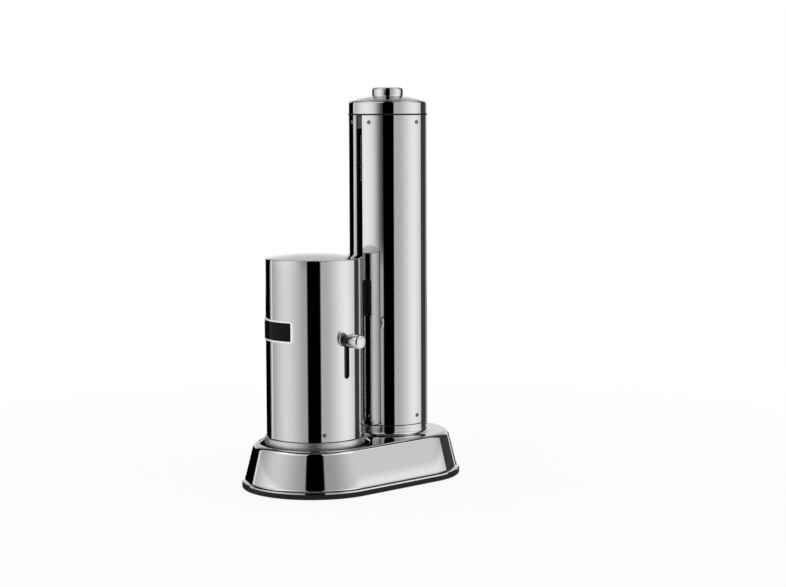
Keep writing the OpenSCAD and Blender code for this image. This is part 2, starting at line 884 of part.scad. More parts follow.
// Steel button with a hollow skirt, a stop flange and a stem
module button() {
    color(steel) at_tower() {
        difference() {
            union() {
                rotate_extrude() polygon(concat(
                    [[0, button_low], [button_r, button_low]],
                    arc(button_r - button_round, button_top - button_round, button_round, 0, 90, 6),
                    [[0, button_top]]
                ));
                post(button_hole_r + stop_w - free_gap, stop_top - stop_t, stop_top);
            }
            post(button_r - button_wall, button_low - over, button_floor);
        }
        post(stem_r, stem_low, button_top - button_wall / 2);
    }
}

// Rod that passes the push of the button down to the valve
module push_rod() {
    color(dark_steel) at_tower() post(rod_r, rod_low, stem_low);
}

// Pin of the cylinder valve
module valve_pin() {
    color(steel) at_tower() post(pin_r, rod_low - pin_len, rod_low);
}

// Return spring of the button, one unbroken wire with closed end curls
spring_steps = 8;
spring_sides = 6;
spring_end_curls = 0.5;
spring_rise = spring_top - spring_low - spring_wire;
spring_free_curls = spring_curls - 2 * spring_end_curls;
function spring_height(t) =
    spring_wire / 2 + spring_rise * min(1, max(0, (t - spring_end_curls) / spring_free_curls));
function spring_place(t) = [spring_r * cos(360 * t), spring_r * sin(360 * t), spring_low + spring_height(t)];
spring_gap = spring_rise / spring_free_curls - spring_wire;
echo(least_gap_between_curls = spring_gap);

module button_spring() {
    count = spring_curls * spring_steps + 1;
    wire_r = spring_wire / 2 - fit_gap;
    points = [
        for (i = [0:count - 1], k = [0:spring_sides - 1])
            let (
                t = i / spring_steps,
                out = [cos(360 * t), sin(360 * t), 0],
                a = 360 * k / spring_sides
            )
            spring_place(t) + wire_r * (cos(a) * out + sin(a) * [0, 0, 1])
    ];
    color(dark_steel) at_tower() polyhedron(points, tube_faces(count, spring_sides));
}

// Steel shell of the chamber, with the slot of the lever
module chamber_shell() {
    slot_half = lever_slot_w / 2;
    color(steel) at_chamber() difference() {
        ring(chamber_r, chamber_in_r, shell_low, shell_top);
        translate([chamber_in_r - strap_w, -slot_half, lever_z - lever_travel])
            cube([2 * strap_w, lever_slot_w, lever_travel]);
        for (z = [lever_z - lever_travel, lever_z])
            rod_x(slot_half, 0, z, chamber_in_r - strap_w, chamber_r + over);
        for (turn = chamber_screw_turns)
            spoke(screw_r + fit_gap, turn, chamber_screw_z, chamber_in_r - over, chamber_r + over);
        for (z = arm_screw_zs) spoke(screw_r + fit_gap, 180, z, chamber_in_r - over, chamber_r + over);
        spoke(elbow_r + fit_gap, 180, passage_z, chamber_in_r - over, chamber_r + over);
    }
}

// Domed lid of the chamber, with a spigot inside the shell
module chamber_lid() {
    color(steel) at_chamber() rotate_extrude() polygon(concat(
        arc(lid_edge_r, shell_top, lid_round, 0, 90),
        dome(lid_edge_r, 0, lid_ball_r, chamber_top),
        dome(0, spigot_in_r - lid_wall, lid_ball_r, chamber_top - lid_wall),
        [[spigot_in_r, shell_top], [spigot_in_r, shell_top - spigot_h]],
        [[spigot_r, shell_top - spigot_h], [spigot_r, shell_top]]
    ));
}

// Ring at the foot of the chamber, with a spigot between the shell and the liner
module chamber_collar() {
    color(steel) at_chamber() difference() {
        union() {
            rotate_extrude() polygon(concat(
                [[liner_r + fit_gap, chamber_low]],
                arc(collar_out_r - collar_round, chamber_low + collar_round, collar_round, 270, 360, 5),
                arc(collar_out_r - groove_d, chamber_collar_top - groove_d, groove_d, 0, 90, 3),
                [[liner_r + fit_gap, chamber_collar_top]]
            ));
            ring(
                chamber_in_r - fit_gap, liner_r + fit_gap,
                chamber_low + collar_round, shell_low + collar_spigot_h
            );
        }
        for (turn = chamber_screw_turns)
            spoke(screw_r + fit_gap, turn, chamber_screw_z, liner_r - over, chamber_r + over);
    }
}

// Dark seam ring above the chamber collar
module chamber_seam() {
    color(black) at_chamber() ring(chamber_r - fit_gap, chamber_in_r, chamber_collar_top, shell_low);
}

// Inner liner that shields the vessel
module chamber_liner() {
    color(black) at_chamber() ring(liner_r, liner_in_r, liner_low, liner_top);
}

// Screws round the foot of the chamber
module chamber_screws() {
    color(dark_steel) at_chamber() for (turn = chamber_screw_turns)
        wall_screw(turn, chamber_screw_z, chamber_r, chamber_screw_len);
}

// Rounded outline of the name plate, smaller by an inset
module plate_outline(inset) {
    corner = plate_corner - inset;
    half = [plate_w / 2 - plate_corner, plate_h / 2 - plate_corner];
    square([2 * half[0], 2 * (half[1] + corner)], center = true);
    square([2 * (half[0] + corner), 2 * half[1]], center = true);
    for (x = [-half[0], half[0]], y = [-half[1], half[1]]) translate([x, y]) circle(r = corner);
}

// Slab with the plate outline, bent round the shell between two radii
module bent_plate(inset, in_r, out_r) {
    at_chamber() rotate([0, 0, plate_turn]) intersection() {
        ring(out_r, in_r, plate_z - plate_h, plate_z + plate_h);
        translate([0, 0, plate_z]) rotate([90, 0, 0])
            linear_extrude(height = 2 * chamber_r) plate_outline(inset);
    }
}

// Dark field of the name plate, left bare
module name_plate() {
    color(black) bent_plate(plate_rim, plate_low_r, plate_low_r + plate_inlay_t);
}

// Bright rim of the name plate
module plate_frame() {
    color(steel) difference() {
        bent_plate(0, plate_low_r, plate_low_r + plate_t);
        bent_plate(plate_rim, plate_low_r - over, plate_low_r + plate_t + over);
    }
}

// Arm that joins the chamber to the slider through the slot
module slide_arm() {
    color(black) difference() {
        union() {
            translate([-arm_w / 2, chamber_y, arm_low]) cube([arm_w, arm_end_y - chamber_y, arm_h]);
            at_chamber() intersection() {
                post(chamber_r + saddle_t, arm_low, arm_low + arm_h);
                translate([-chamber_r * sin(saddle_turn), 0, 0])
                    cube([2 * chamber_r * sin(saddle_turn), 2 * chamber_r, chamber_top]);
            }
        }
        at_chamber() post(chamber_r + fit_gap, arm_low - over, arm_low + arm_h + over);
        for (z = arm_screw_zs)
            rod_y(screw_r + fit_gap, 0, z, chamber_y, chamber_y + chamber_r + arm_screw_len);
        for (z = slider_screw_zs)
            rod_y(screw_r + fit_gap, 0, z, arm_end_y - arm_screw_len - over, arm_end_y + over);
        rod_y(passage_r, 0, passage_z, chamber_y, arm_end_y + over);
    }
}

// Block that runs on the two rails inside the tower
module slider() {
    color(grey_plastic) at_tower() difference() {
        intersection() {
            ring(slider_out_r, slider_in_r, slider_low, slider_top);
            translate([-slider_w / 2, -tower_r, slider_low]) cube([slider_w, tower_r, slider_len]);
        }
        translate([-arm_w / 2 - fit_gap, -tower_r, arm_low - fit_gap])
            cube([arm_w + 2 * fit_gap, tower_r - slider_out_r + notch_depth, arm_h + 2 * fit_gap]);
        rail_places() post(rail_r + run_gap, slider_low - over, slider_top + over);
        for (z = slider_screw_zs) {
            spoke(screw_r + fit_gap, 0, z, gas_r, slider_out_r);
            spoke(arm_head_r + fit_gap, 0, z, gas_r, slider_in_r + arm_head_h);
        }
        spoke(passage_r, 0, passage_z, feed_ring_r - passage_r, slider_out_r);
        feed_place() post(sleeve_r + fit_gap, slider_low - over, slider_top + over);
    }
}

// Two screws from the chamber into the arm
module arm_screws() {
    color(dark_steel) at_chamber() for (z = arm_screw_zs) {
        spoke(screw_r, 180, z, chamber_in_r - arm_head_h, chamber_r + arm_screw_len - free_gap);
        intersection() {
            spoke(arm_head_r, 180, z, chamber_in_r - arm_head_h, chamber_in_r);
            post(chamber_in_r - fit_gap, arm_low, arm_low + arm_h);
        }
    }
}

// Two screws from the slider into the arm
module slider_screws() {
    color(dark_steel) at_tower() for (z = slider_screw_zs) {
        spoke(screw_r, 0, z, slider_in_r + free_gap, slider_in_r + slider_screw_len);
        spoke(arm_head_r, 0, z, slider_in_r + free_gap, slider_in_r + arm_head_h);
    }
}

// Bridge across the top of the chamber, with the nozzle post and the ears of the yoke
module head_bridge() {
    top = bridge_low + bridge_t;
    reach = spigot_in_r - fit_gap;
    color(alloy) at_chamber() difference() {
        union() {
            intersection() {
                post(reach, bridge_low, top);
                translate([-bridge_w / 2, -reach, bridge_low]) cube([bridge_w, 2 * reach, bridge_t]);
            }
            post(spigot_post_r, post_low, top);
            for (side = [-1, 1]) {
                translate([yoke_x - ear_w / 2, side * (ear_y + ear_t / 2) - ear_t / 2, yoke_z])
                    cube([ear_w, ear_t, bridge_low + over - yoke_z]);
                rod_y(
                    ear_w / 2, yoke_x, yoke_z,
                    side * (ear_y + ear_t / 2) - ear_t / 2, side * (ear_y + ear_t / 2) + ear_t / 2
                );
            }
        }
        post(pipe_r + fit_gap, post_low - over, duct_z);
        rod_y(pivot_r + fit_gap, yoke_x, yoke_z, -chamber_r, chamber_r);
        rod_y(duct_r, 0, duct_z, relief_y, elbow_in_y);
        translate([0, relief_y, 0]) post(passage_r, bridge_low - over, duct_z);
        translate([0, elbow_in_y, 0]) post(hose_nose_r, bridge_low - over, duct_z);
    }
}

// Two pins that the yoke turns on
module pivot_pins() {
    color(dark_steel) at_chamber() for (side = [-1, 1]) {
        inner = yoke_plate_y - fit_gap;
        outer = ear_y + ear_t;
        rod_y(pivot_r, yoke_x, yoke_z, min(side * inner, side * outer), max(side * inner, side * outer));
    }
}

// Relief valve under the bridge
module relief_valve() {
    color(brass) at_chamber() translate([0, relief_y, 0]) {
        post(relief_r, bridge_low - relief_len / 2, bridge_low);
        post(relief_tip_r, bridge_low - relief_len, bridge_low);
        post(passage_r - fit_gap, bridge_low - over, duct_z - duct_r);
    }
}

// Nozzle pipe that reaches down from the bridge
module nozzle_pipe() {
    color(steel) at_chamber() difference() {
        post(pipe_r, bridge_low - pipe_len, duct_z);
        post(pipe_r / 2, bridge_low - pipe_len - over, bridge_low + bridge_t);
    }
}

// Elbow that leads the gas from the arm into the chamber
module chamber_elbow() {
    color(brass) at_chamber() {
        spoke(elbow_r, 180, passage_z, elbow_in_y, chamber_r);
        spoke(passage_r - fit_gap, 180, passage_z, elbow_in_y, chamber_r + nose_len);
        translate([0, elbow_in_y, 0]) post(elbow_r, passage_z, hose_low);
        translate([0, elbow_in_y, 0]) post(hose_nose_r - fit_gap, passage_z, hose_low + nose_len);
        translate([0, elbow_in_y, passage_z]) sphere(r = elbow_r);
    }
}

// Short hose from the elbow up to the bridge
module chamber_hose() {
    color(black) at_chamber() translate([0, elbow_in_y, 0]) ring(hose_r, hose_nose_r, hose_low, bridge_low);
}

// Round steel knob of the lever
module lever_knob() {
    end_x = knob_x + knob_len;
    color(steel) at_chamber() translate([0, 0, lever_z]) rotate([0, 90, 0]) difference() {
        rotate_extrude() polygon([
            [0, knob_x], [knob_r - knob_bevel, knob_x], [knob_r, knob_x + knob_bevel],
            [knob_r, end_x - knob_bevel], [knob_r - knob_bevel, end_x], [0, end_x]
        ]);
        translate([0, 0, knob_x - over]) cylinder(r = stem_rod_r + fit_gap, h = stem_sink + over);
    }
}

// Stem of the lever, through the slot of the shell
module lever_stem() {
    color(dark_steel) at_chamber() {
        rod_x(stem_rod_r, 0, lever_z, strap_out_r, knob_x + stem_sink);
        rod_x(stem_tip_r, 0, lever_z, strap_in_r + fit_gap, strap_out_r);
    }
}

// Dark bush between the shell and the knob
module lever_bush() {
    color(black) at_chamber() difference() {
        rod_x(bush_r, 0, lever_z, bush_x, knob_x);
        rod_x(stem_rod_r + fit_gap, 0, lever_z, bush_x - over, knob_x + over);
    }
}

// Strap between the liner and the shell, with a fork for the rod of the yoke
module lever_strap() {
    low = lever_z - strap_foot;
    top = rod_rest_z + tab_half_h;
    fork_x = rod_near_x - yoke_rod_r;
    slot_end_x = rod_far_x + yoke_rod_r + rod_slack;
    slot_half = yoke_rod_r + rod_slack;
    color(black) at_chamber() difference() {
        union() {
            intersection() {
                ring(strap_out_r, strap_in_r, low, top);
                translate([0, -strap_w / 2, low - over]) cube([chamber_r, strap_w, top - low + 2 * over]);
            }
            translate([fork_x, -tab_t / 2, rod_rest_z - tab_half_h])
                cube([strap_in_r + over - fork_x, tab_t, 2 * tab_half_h]);
        }
        translate([fork_x - over, -tab_t, rod_rest_z - slot_half])
            cube([slot_end_x - fork_x + over, 2 * tab_t, 2 * slot_half]);
        rod_x(stem_tip_r + fit_gap, 0, lever_z, liner_r, chamber_r);
    }
}

// Yoke that turns the long pull of the lever into the short push of the nozzle
module yoke() {
    slot_from = yoke_crank;
    slot_to = yoke_crank / cos(half_swing);
    slot_half = nozzle_pin_r + free_gap;
    color(dark_steel) at_chamber() translate([yoke_x, 0, yoke_z]) rotate([0, -half_swing, 0]) difference() {
        union() {
            for (side = [-1, 1]) {
                from = min(side * yoke_plate_y, side * yoke_out_y);
                rod_y(yoke_end_r, 0, 0, from, from + yoke_plate_t);
                translate([0, from, -yoke_plate_h / 2]) cube([yoke_arm, yoke_plate_t, yoke_plate_h]);
            }
            rod_y(yoke_rod_r, yoke_arm, 0, -yoke_out_y, yoke_out_y);
        }
        rod_y(pivot_r + run_gap, 0, 0, -chamber_r, chamber_r);
        translate([slot_from - fit_gap, -chamber_r, -slot_half])
            cube([slot_to - slot_from + 2 * fit_gap, 2 * chamber_r, 2 * slot_half]);
        for (x = [slot_from - fit_gap, slot_to + fit_gap]) rod_y(slot_half, x, 0, -chamber_r, chamber_r);
    }
}

// Bell that slides on the post and presses the seal down
module nozzle_bell() {
    color(alloy) at_chamber() difference() {
        union() {
            post(bell_r, bell_low, bell_top);
            for (side = [-1, 1]) {
                from = side > 0 ? bell_r - bell_wall : -yoke_out_y;
                rod_y(nozzle_pin_r, 0, nozzle_pin_z, from, from + yoke_out_y - bell_r + bell_wall);
            }
        }
        post(bell_r - bell_wall, bell_low - over, seal_low + seal_t);
        post(spigot_post_r + run_gap, bell_low, bell_top + over);
    }
}

// Rubber seal in the bell
module nozzle_seal() {
    color(rubber_black) at_chamber() ring(seal_out_r, spigot_post_r + free_gap, seal_low, seal_low + seal_t);
}

rubber_foot();
base_shell();
base_frame();
bottom_cover();
cover_screws();
seat_cup();
seat_pad();
landing_ring();
tower_collar();
tower_seam();
tower_tube();
tower_screws_low();
tower_screws_high();
head_frame();
cap_seam();
tower_cap();
button_guide();
guide_rails();
valve_block();
block_screws();
inlet_washer();
feed_elbow();
feed_pipe();
gas_cylinder();
cylinder_valve();
button();
push_rod();
valve_pin();
button_spring();
chamber_shell();
chamber_lid();
chamber_collar();
chamber_seam();
chamber_liner();
chamber_screws();
name_plate();
plate_frame();
slide_arm();
slider();
feed_sleeve();
arm_screws();
slider_screws();
head_bridge();
pivot_pins();
relief_valve();
nozzle_pipe();
chamber_elbow();
chamber_hose();
lever_knob();
lever_stem();
lever_bush();
lever_strap();
yoke();
nozzle_bell();
nozzle_seal();
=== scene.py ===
"""Looks of a sparkling water maker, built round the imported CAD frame.

The mirror polished pieces get fine smooth meshes of their own, and the other pieces keep the
CAD meshes. Everything is in metres: +Z is up, the chamber stands towards -Y, the lever is on +X.
"""

import json
import math

import bmesh
import bpy
from mathutils import Matrix, Vector


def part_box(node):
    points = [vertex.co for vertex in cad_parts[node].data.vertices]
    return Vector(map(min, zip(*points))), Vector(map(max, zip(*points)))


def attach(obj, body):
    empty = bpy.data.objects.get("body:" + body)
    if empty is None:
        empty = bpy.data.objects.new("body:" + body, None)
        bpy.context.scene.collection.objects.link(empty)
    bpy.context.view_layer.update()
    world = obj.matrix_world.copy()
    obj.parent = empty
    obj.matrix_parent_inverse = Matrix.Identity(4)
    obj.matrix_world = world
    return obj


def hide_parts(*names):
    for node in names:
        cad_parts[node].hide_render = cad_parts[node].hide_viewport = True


bl_info = {
    "name": "Sparkling water maker",
    "version": (1, 0, 0),
    "blender": (4, 5, 0),
    "location": "View3D > Sidebar > Water maker",
    "description": "Polished skins, finishes and studio of a sparkling water maker",
    "category": "Object",
}

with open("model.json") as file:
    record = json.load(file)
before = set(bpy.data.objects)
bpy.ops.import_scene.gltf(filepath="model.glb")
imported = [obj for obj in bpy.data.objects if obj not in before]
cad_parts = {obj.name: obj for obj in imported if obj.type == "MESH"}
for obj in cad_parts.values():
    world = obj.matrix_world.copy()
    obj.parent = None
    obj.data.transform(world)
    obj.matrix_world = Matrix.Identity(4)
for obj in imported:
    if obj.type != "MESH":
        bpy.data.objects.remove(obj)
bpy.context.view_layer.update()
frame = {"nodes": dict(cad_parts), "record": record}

# fixed values: lengths in metres, the sensor in millimetres
MM = 0.001
WELD_DISTANCE = 0.001 * MM
AXIS_TOLERANCE = 0.0001 * MM
WALL_TOLERANCE = 0.05 * MM
OUTWARD_SHARE = 0.99
SHARP_ANGLE = math.radians(32)
RELIEF_DEPTH = 0.05 * MM
NOISE_MIDDLE = 0.5
WHITE = (1, 1, 1, 1)
SENSOR_WIDTH = 36
VIEW_END = 50


# sizes read from the frame
def radius_of(node):
    """Half the width of a round CAD node."""
    low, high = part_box(node)
    return (high.x - low.x) / 2


def axis_of(node):
    """Place of the upright axis of a round CAD node."""
    low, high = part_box(node)
    return Vector(((low.x + high.x) / 2, (low.y + high.y) / 2, 0))


def span_of(node):
    """Lowest and highest level of a CAD node."""
    low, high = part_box(node)
    return low.z, high.z


CHAMBER_AXIS = axis_of("chamber_lid")
TOWER_AXIS = axis_of("tower_cap")


# settings
def length(name, description, value):
    """Length, given in millimetres."""
    return bpy.props.FloatProperty(name=name, description=description, default=value * MM, unit="LENGTH")


def degrees(name, description, value):
    """Angle, given in degrees."""
    return bpy.props.FloatProperty(
        name=name, description=description, default=math.radians(value), subtype="ANGLE")


def amount(name, description, value):
    """Brightness, gloss or share, never below zero."""
    return bpy.props.FloatProperty(name=name, description=description, default=value, min=0)


def tint(name, description, value):
    """Colour of a finish."""
    return bpy.props.FloatVectorProperty(
        name=name, description=description, subtype="COLOR", size=3, default=value, min=0, max=1)


class MakerShapeSettings(bpy.types.PropertyGroup):
    """Sizes of the polished skins"""

    steps: bpy.props.IntProperty(
        name="Steps", description="Steps round each round piece", default=288, min=96, max=512)
    cut_edge: length("Cut edge", "Fine bevel on the edges of the cap and the knob", 0.2)
    tube_edge: length("Tube edge", "Fine bevel on the edges of the tower tube", 0.15)
    overrun: length("Overrun", "How far the cutter of the lever slot starts inside the wall", 9)
    sheet: length("Sheet", "Thickness of the steel skin of the base", 1.5)
    skirt_lean: degrees("Skirt lean", "Lean of the skirt from upright", 14)
    top_round: length("Top rounding", "Rounding between the skirt and the top of the base", 5.5)
    bead: length("Bead", "Height of the bead at the lower edge of the skirt", 1.6)
    flare_width: length("Flare width", "How far the skirt flares out at the bead", 2.6)
    flare_height: length("Flare height", "Height of the flare above the bead", 2.8)
    recess: length("Recess", "Radius of the recess that the chamber stands in", 56.5)
    recess_round: length("Recess rounding", "Rounding of the rim of the recess", 2)
    recess_lip: length("Recess lip", "Height of the rim of the recess", 3.5)
    fillet: length("Collar fillet", "Fillet from the tower collar to the base", 4)
    groove: length("Collar groove", "Depth of the fine groove round the tower collar", 0.5)
    groove_drop: length("Groove drop", "How far the groove lies below the top of the collar", 3.2)
    tower_wall: length("Tower wall", "Wall of the tower tube", 1.2)
    tower_slot: length("Tower slot", "Width of the long slot of the tower", 9)
    tower_slot_low: length("Tower slot level", "Level of the lower end of the long slot", 150)
    edge_round: length("Cap rounding", "Rounding of the upper edge of the cap", 2.5)
    lid_edge: length("Lid rounding", "Rounding of the upper edge of the lid", 1.3)
    cap_wall: length("Cap wall", "Wall of the cap and of the lid", 1.5)
    cap_rise: length("Cap rise", "Rise of the dome of the cap", 6)
    lid_rise: length("Lid rise", "Rise of the dome of the lid", 4.2)
    button_gap: length("Button gap", "Gap round the button", 0.3)
    button_radius: length("Button radius", "Radius of the button", 16.5)
    button_round: length("Button rounding", "Rounding of the edge of the button", 2.2)
    button_crown: length("Button crown", "Rise of the slightly domed top of the button", 0.25)
    button_wall: length("Button wall", "Wall of the button", 2)
    button_foot: length(
        "Button foot", "Height of the lower end of the button above the dark seam ring", 8.5)
    chamber_wall: length("Chamber wall", "Wall of the chamber shell", 1.2)
    lever_slot: length("Lever slot", "Width of the slot of the lever", 6.6)
    lever_travel: length("Lever travel", "How far the lever is pulled down", 36)
    slot_bevel: length("Slot bevel", "Bright bevel round the slot of the lever", 0.35)
    collar_round: length("Collar rounding", "Rounding of the lower edge of the chamber collar", 0.8)
    collar_edge: length("Collar edge", "Rounding of the upper edge of the chamber collar", 0.5)
    liner_gap: length("Liner gap", "Gap between the collar and the liner", 0.05)
    knob_bevel: length("Knob bevel", "Bevel on the edges of the lever knob", 1.2)
    screw_head: length("Screw head", "Radius of the small round screw heads", 2.2)
    screw_rise: length("Screw rise", "How far the screw heads stand out", 0.9)


class MakerFinishSettings(bpy.types.PropertyGroup):
    """Colours and gloss of the finishes"""

    steel: tint("Polished steel", "Colour of the polished steel", (0.61, 0.61, 0.615))
    steel_gloss: amount("Polished roughness", "Roughness of the polished steel", 0.045)
    plain: tint("Plain steel", "Colour of the screws and rods", (0.39, 0.39, 0.4))
    black: tint("Black plastic", "Colour of the black plastic", (0.012, 0.012, 0.013))
    rubber: tint("Rubber", "Colour of the rubber", (0.010, 0.010, 0.010))
    satin: amount("Satin roughness", "Roughness of the satin collar of the chamber", 0.34)
    knob_gloss: amount("Knob roughness", "Roughness of the polished knob of the lever", 0.16)
    # Darker than the wall steel: painted shade for the dark ring and dark reflections round each screw
    # head.
    screw: tint("Screw steel", "Colour of the small wall screws", (0.185, 0.185, 0.19))
    # Near white and barely metallic: painted highlight for the bright reflection on the polished rim of
    # the name plate.
    rim: tint("Plate rim", "Colour of the bright rim of the name plate", (0.93, 0.93, 0.93))
    field: tint("Plate field", "Colour of the bare field of the name plate", (0.002, 0.002, 0.002))
    grey: tint("Grey plastic", "Colour of the grey plastic", (0.045, 0.047, 0.05))
    # Dark brass: partly the colour of brass, partly painted shade that keeps the valve dark where it
    # shows through the long slot of the tower.
    brass: tint("Brass", "Colour of the brass", (0.30, 0.215, 0.10))
    alloy: tint("Light alloy", "Colour of the cast light alloy", (0.44, 0.45, 0.455))
    frame_alloy: tint("Frame alloy", "Colour of the cast frame of the base", (0.145, 0.148, 0.155))
    # Near black paint: painted shade that keeps the long slot of the tower dark where the cylinder shows
    # through it.
    cylinder: tint("Gas cylinder", "Paint of the gas cylinder", (0.012, 0.013, 0.014))


class MakerStudioSettings(bpy.types.PropertyGroup):
    """Floor, light and camera"""

    floor_width: length("Floor width", "Width of the floor", 14000)
    floor_colour: tint("Floor colour", "Colour of the pale floor", (0.94, 0.94, 0.94))
    floor_roughness: amount("Floor roughness", "Roughness of the pale floor", 0.9)
    card_turn: degrees("Card direction", "Direction of the dark card, from the front", 48.3)
    card_half: degrees("Card half width", "Half the width of the dark card", 16)
    left_end: degrees("Left panel end", "Turn from the card to the end of the left light panel", 123)
    right_end: degrees("Right panel end", "Turn from the card to the end of the right light panel", 112)
    panel_edge: degrees("Panel edge", "Softness of the upright edges of the panels", 1.5)
    panel_level: amount("Panel level", "Brightness of the side panels", 0.45)
    glow_level: amount("Glow level", "Added brightness in the middle of a side panel", 0.45)
    left_glow: degrees("Left glow", "Turn from the card to the glow of the left panel", 70)
    right_glow: degrees("Right glow", "Turn from the card to the glow of the right panel", 80)
    glow_width: degrees("Glow width", "Turn over which the glow fades out", 56)
    line_width: degrees("Light line width", "Width of the thin light lines at the rear", 6)
    line_level: amount("Light line level", "Brightness of the thin light lines", 0.8)
    rear_line: degrees("Rear line", "Turn from the card to the thin light line at the right rear", 149)
    rear_level: amount("Rear level", "Brightness of the room at the right rear", 0.045)
    band_low: degrees("Side band start", "Height angle at which the side panels get dimmer", 6.5)
    band_dip: amount("Side band dip", "Share by which the side panels get dimmer", 0.26)
    upper_low: degrees("Upper light start", "Height angle at which the upper light begins", 36)
    upper_high: degrees("Upper light end", "Height angle at which the upper light ends", 58)
    upper_edge: degrees("Upper light edge", "Softness of the edges of the upper light", 8)
    upper_level: amount("Upper light level", "Added brightness of the upper light", 0.6)
    ceiling_level: amount("Ceiling level", "Brightness of the ceiling", 0.06)
    backdrop_edge: degrees("Backdrop edge", "Turn from the card at which the pale backdrop begins", 160)
    backdrop_top: degrees("Backdrop top", "Height angle at which the pale backdrop ends", 20)
    backdrop_level: amount("Backdrop level", "Brightness of the pale backdrop at the horizon", 0.75)
    backdrop_fade: amount("Backdrop fade", "How much dimmer the backdrop gets to its top", 0.25)
    reach_level: degrees(
        "Reach level", "Angle below the horizon under which the left panel reaches further", 4.2)
    low_reach: degrees("Low reach", "How much further the left panel reaches there", 5)
    near_end: degrees("Shade end", "Turn from the card at which the shade beside it ends", 46)
    near_shade: amount(
        "Shade depth", "How dark the left panel gets beside the card, seen in the tower", 0.9)
    low_dip: amount("Low dip", "Share by which the left panel gets dimmer below the reach level", 0.17)
    backdrop_spread: degrees(
        "Backdrop spread", "How much wider the pale backdrop is above the horizon", 22)
    backdrop_low: degrees(
        "Backdrop start", "Angle below the horizon at which the pale backdrop begins", 5.2)
    horizon: degrees("Horizon", "Softness of the lower edge of the backdrop", 1)
    floor_start: degrees("Floor start", "Angle below the horizon at which the floor begins to show", 25)
    floor_level: amount("Floor level", "Brightness of the floor in reflections", 0.7)
    mirror_bounces: bpy.props.IntProperty(
        name="Mirror bounces", description="How often polished pieces show one another",
        default=2, min=1, max=8)
    glow_start: length(
        "Glow start", "Distance from the machine at which the floor begins to get whiter", 250)
    glow_end: length("Glow end", "Distance from the machine at which the floor is white", 900)
    floor_glow: amount("Floor white", "Share of plain white that the camera sees in the floor", 0.86)
    mirror_light: amount("Mirror light", "Level of the whole studio as metal reflects it", 1.4)
    soft_light: amount("Soft light", "Level of the soft light on matt pieces", 0.82)
    key_power: bpy.props.FloatProperty(
        name="Key light", description="Power of the key light", default=7.0, unit="POWER")
    key_size: length("Key size", "Width of the key light", 1400)
    key_right: length("Key side", "How far the key light stands to +X", 300)
    key_front: length("Key front", "How far the key light stands before the machine", 1600)
    key_height: length("Key height", "Height of the key light", 2200)
    key_aim: length("Key aim", "Height of the point that the key light looks at", 200)
    camera_turn: degrees("Camera direction", "Direction of the camera, from the front", 47.531)
    camera_distance: length("Camera distance", "Level distance of the camera from the origin", 1985.28)
    camera_height: length("Camera height", "Height of the camera", 397.34)
    camera_yaw: degrees("Camera yaw", "Turn of the camera to its right", 1.252)
    camera_pitch: degrees("Camera pitch", "Tilt of the camera downwards", 5.761)
    camera_roll: degrees("Camera roll", "Roll of the camera", -0.199)
    camera_lens: bpy.props.FloatProperty(
        name="Lens", description="Focal length of the lens in millimetres", default=86.83)


def shape():
    """Sizes of the skins."""
    return bpy.context.scene.maker_shape


def studio():
    """Settings of the floor, the light and the camera."""
    return bpy.context.scene.maker_studio


# mesh helpers
def new_piece(name, data):
    """Object at the origin, made from a mesh, a light or a camera."""
    piece = bpy.data.objects.new(name, data)
    bpy.context.scene.collection.objects.link(piece)
    return piece


def finish_mesh(bm, name):
    """Closes, turns outwards and smooths a mesh, with its edges kept crisp."""
    bmesh.ops.remove_doubles(bm, verts=bm.verts, dist=WELD_DISTANCE)
    bmesh.ops.recalc_face_normals(bm, faces=bm.faces)
    mesh = bpy.data.meshes.new(name)
    bm.to_mesh(mesh)
    bm.free()
    crisp(mesh)
    return new_piece(name, mesh)


def crisp(mesh):
    """Smooth faces with sharp edges where the surface turns."""
    mesh.polygons.foreach_set("use_smooth", [True] * len(mesh.polygons))
    mesh.set_sharp_from_angle(angle=SHARP_ANGLE)
    mesh.update()


def arc(cx, cy, radius, start, end, steps):
    """Points on an arc between two angles in degrees."""
    points = []
    for i in range(steps + 1):
        angle = math.radians(start + (end - start) * i / steps)
        points.append((cx + radius * math.cos(angle), cy + radius * math.sin(angle)))
    return points


def dome(start, end, edge, rise, top, steps):
    """Points on a shallow dome between two radii, named by its edge radius and rise."""
    ball = (edge * edge + rise * rise) / (2 * rise)
    points = []
    for i in range(steps + 1):
        r = start + (end - start) * i / steps
        points.append((r, top - ball + math.sqrt(ball * ball - r * r)))
    return points


def skin_rows(bm, rows, closed=False):
    """Adds the faces between loops of points. A row of one point is a tip."""
    pairs = list(zip(rows, rows[1:]))
    if closed:
        pairs.append((rows[-1], rows[0]))
    for low, high in pairs:
        count = max(len(low), len(high))
        if count == 1:
            continue
        for i in range(count):
            n = (i + 1) % count
            if len(low) == 1:
                bm.faces.new((low[0], high[n], high[i]))
            elif len(high) == 1:
                bm.faces.new((low[i], low[n], high[0]))
            else:
                bm.faces.new((low[i], low[n], high[n], high[i]))


def turn_profile(bm, profile, centre, closed, steps, frame_axes=None):
    """Turns a profile of (radius, height) round an axis and adds its faces."""
    side, ahead, up = frame_axes or (Vector((1, 0, 0)), Vector((0, 1, 0)), Vector((0, 0, 1)))
    rows = []
    for r, h in profile:
        if r < AXIS_TOLERANCE:
            rows.append([bm.verts.new(centre + up * h)])
            continue
        row = []
        for i in range(steps):
            angle = math.tau * i / steps
            row.append(bm.verts.new(
                centre + side * (r * math.cos(angle)) + ahead * (r * math.sin(angle)) + up * h))
        rows.append(row)
    skin_rows(bm, rows, closed)


def turned(name, profile, centre, closed=True, frame_axes=None):
    """A round piece turned from a profile."""
    bm = bmesh.new()
    turn_profile(bm, profile, centre, closed, shape().steps, frame_axes)
    return finish_mesh(bm, name)


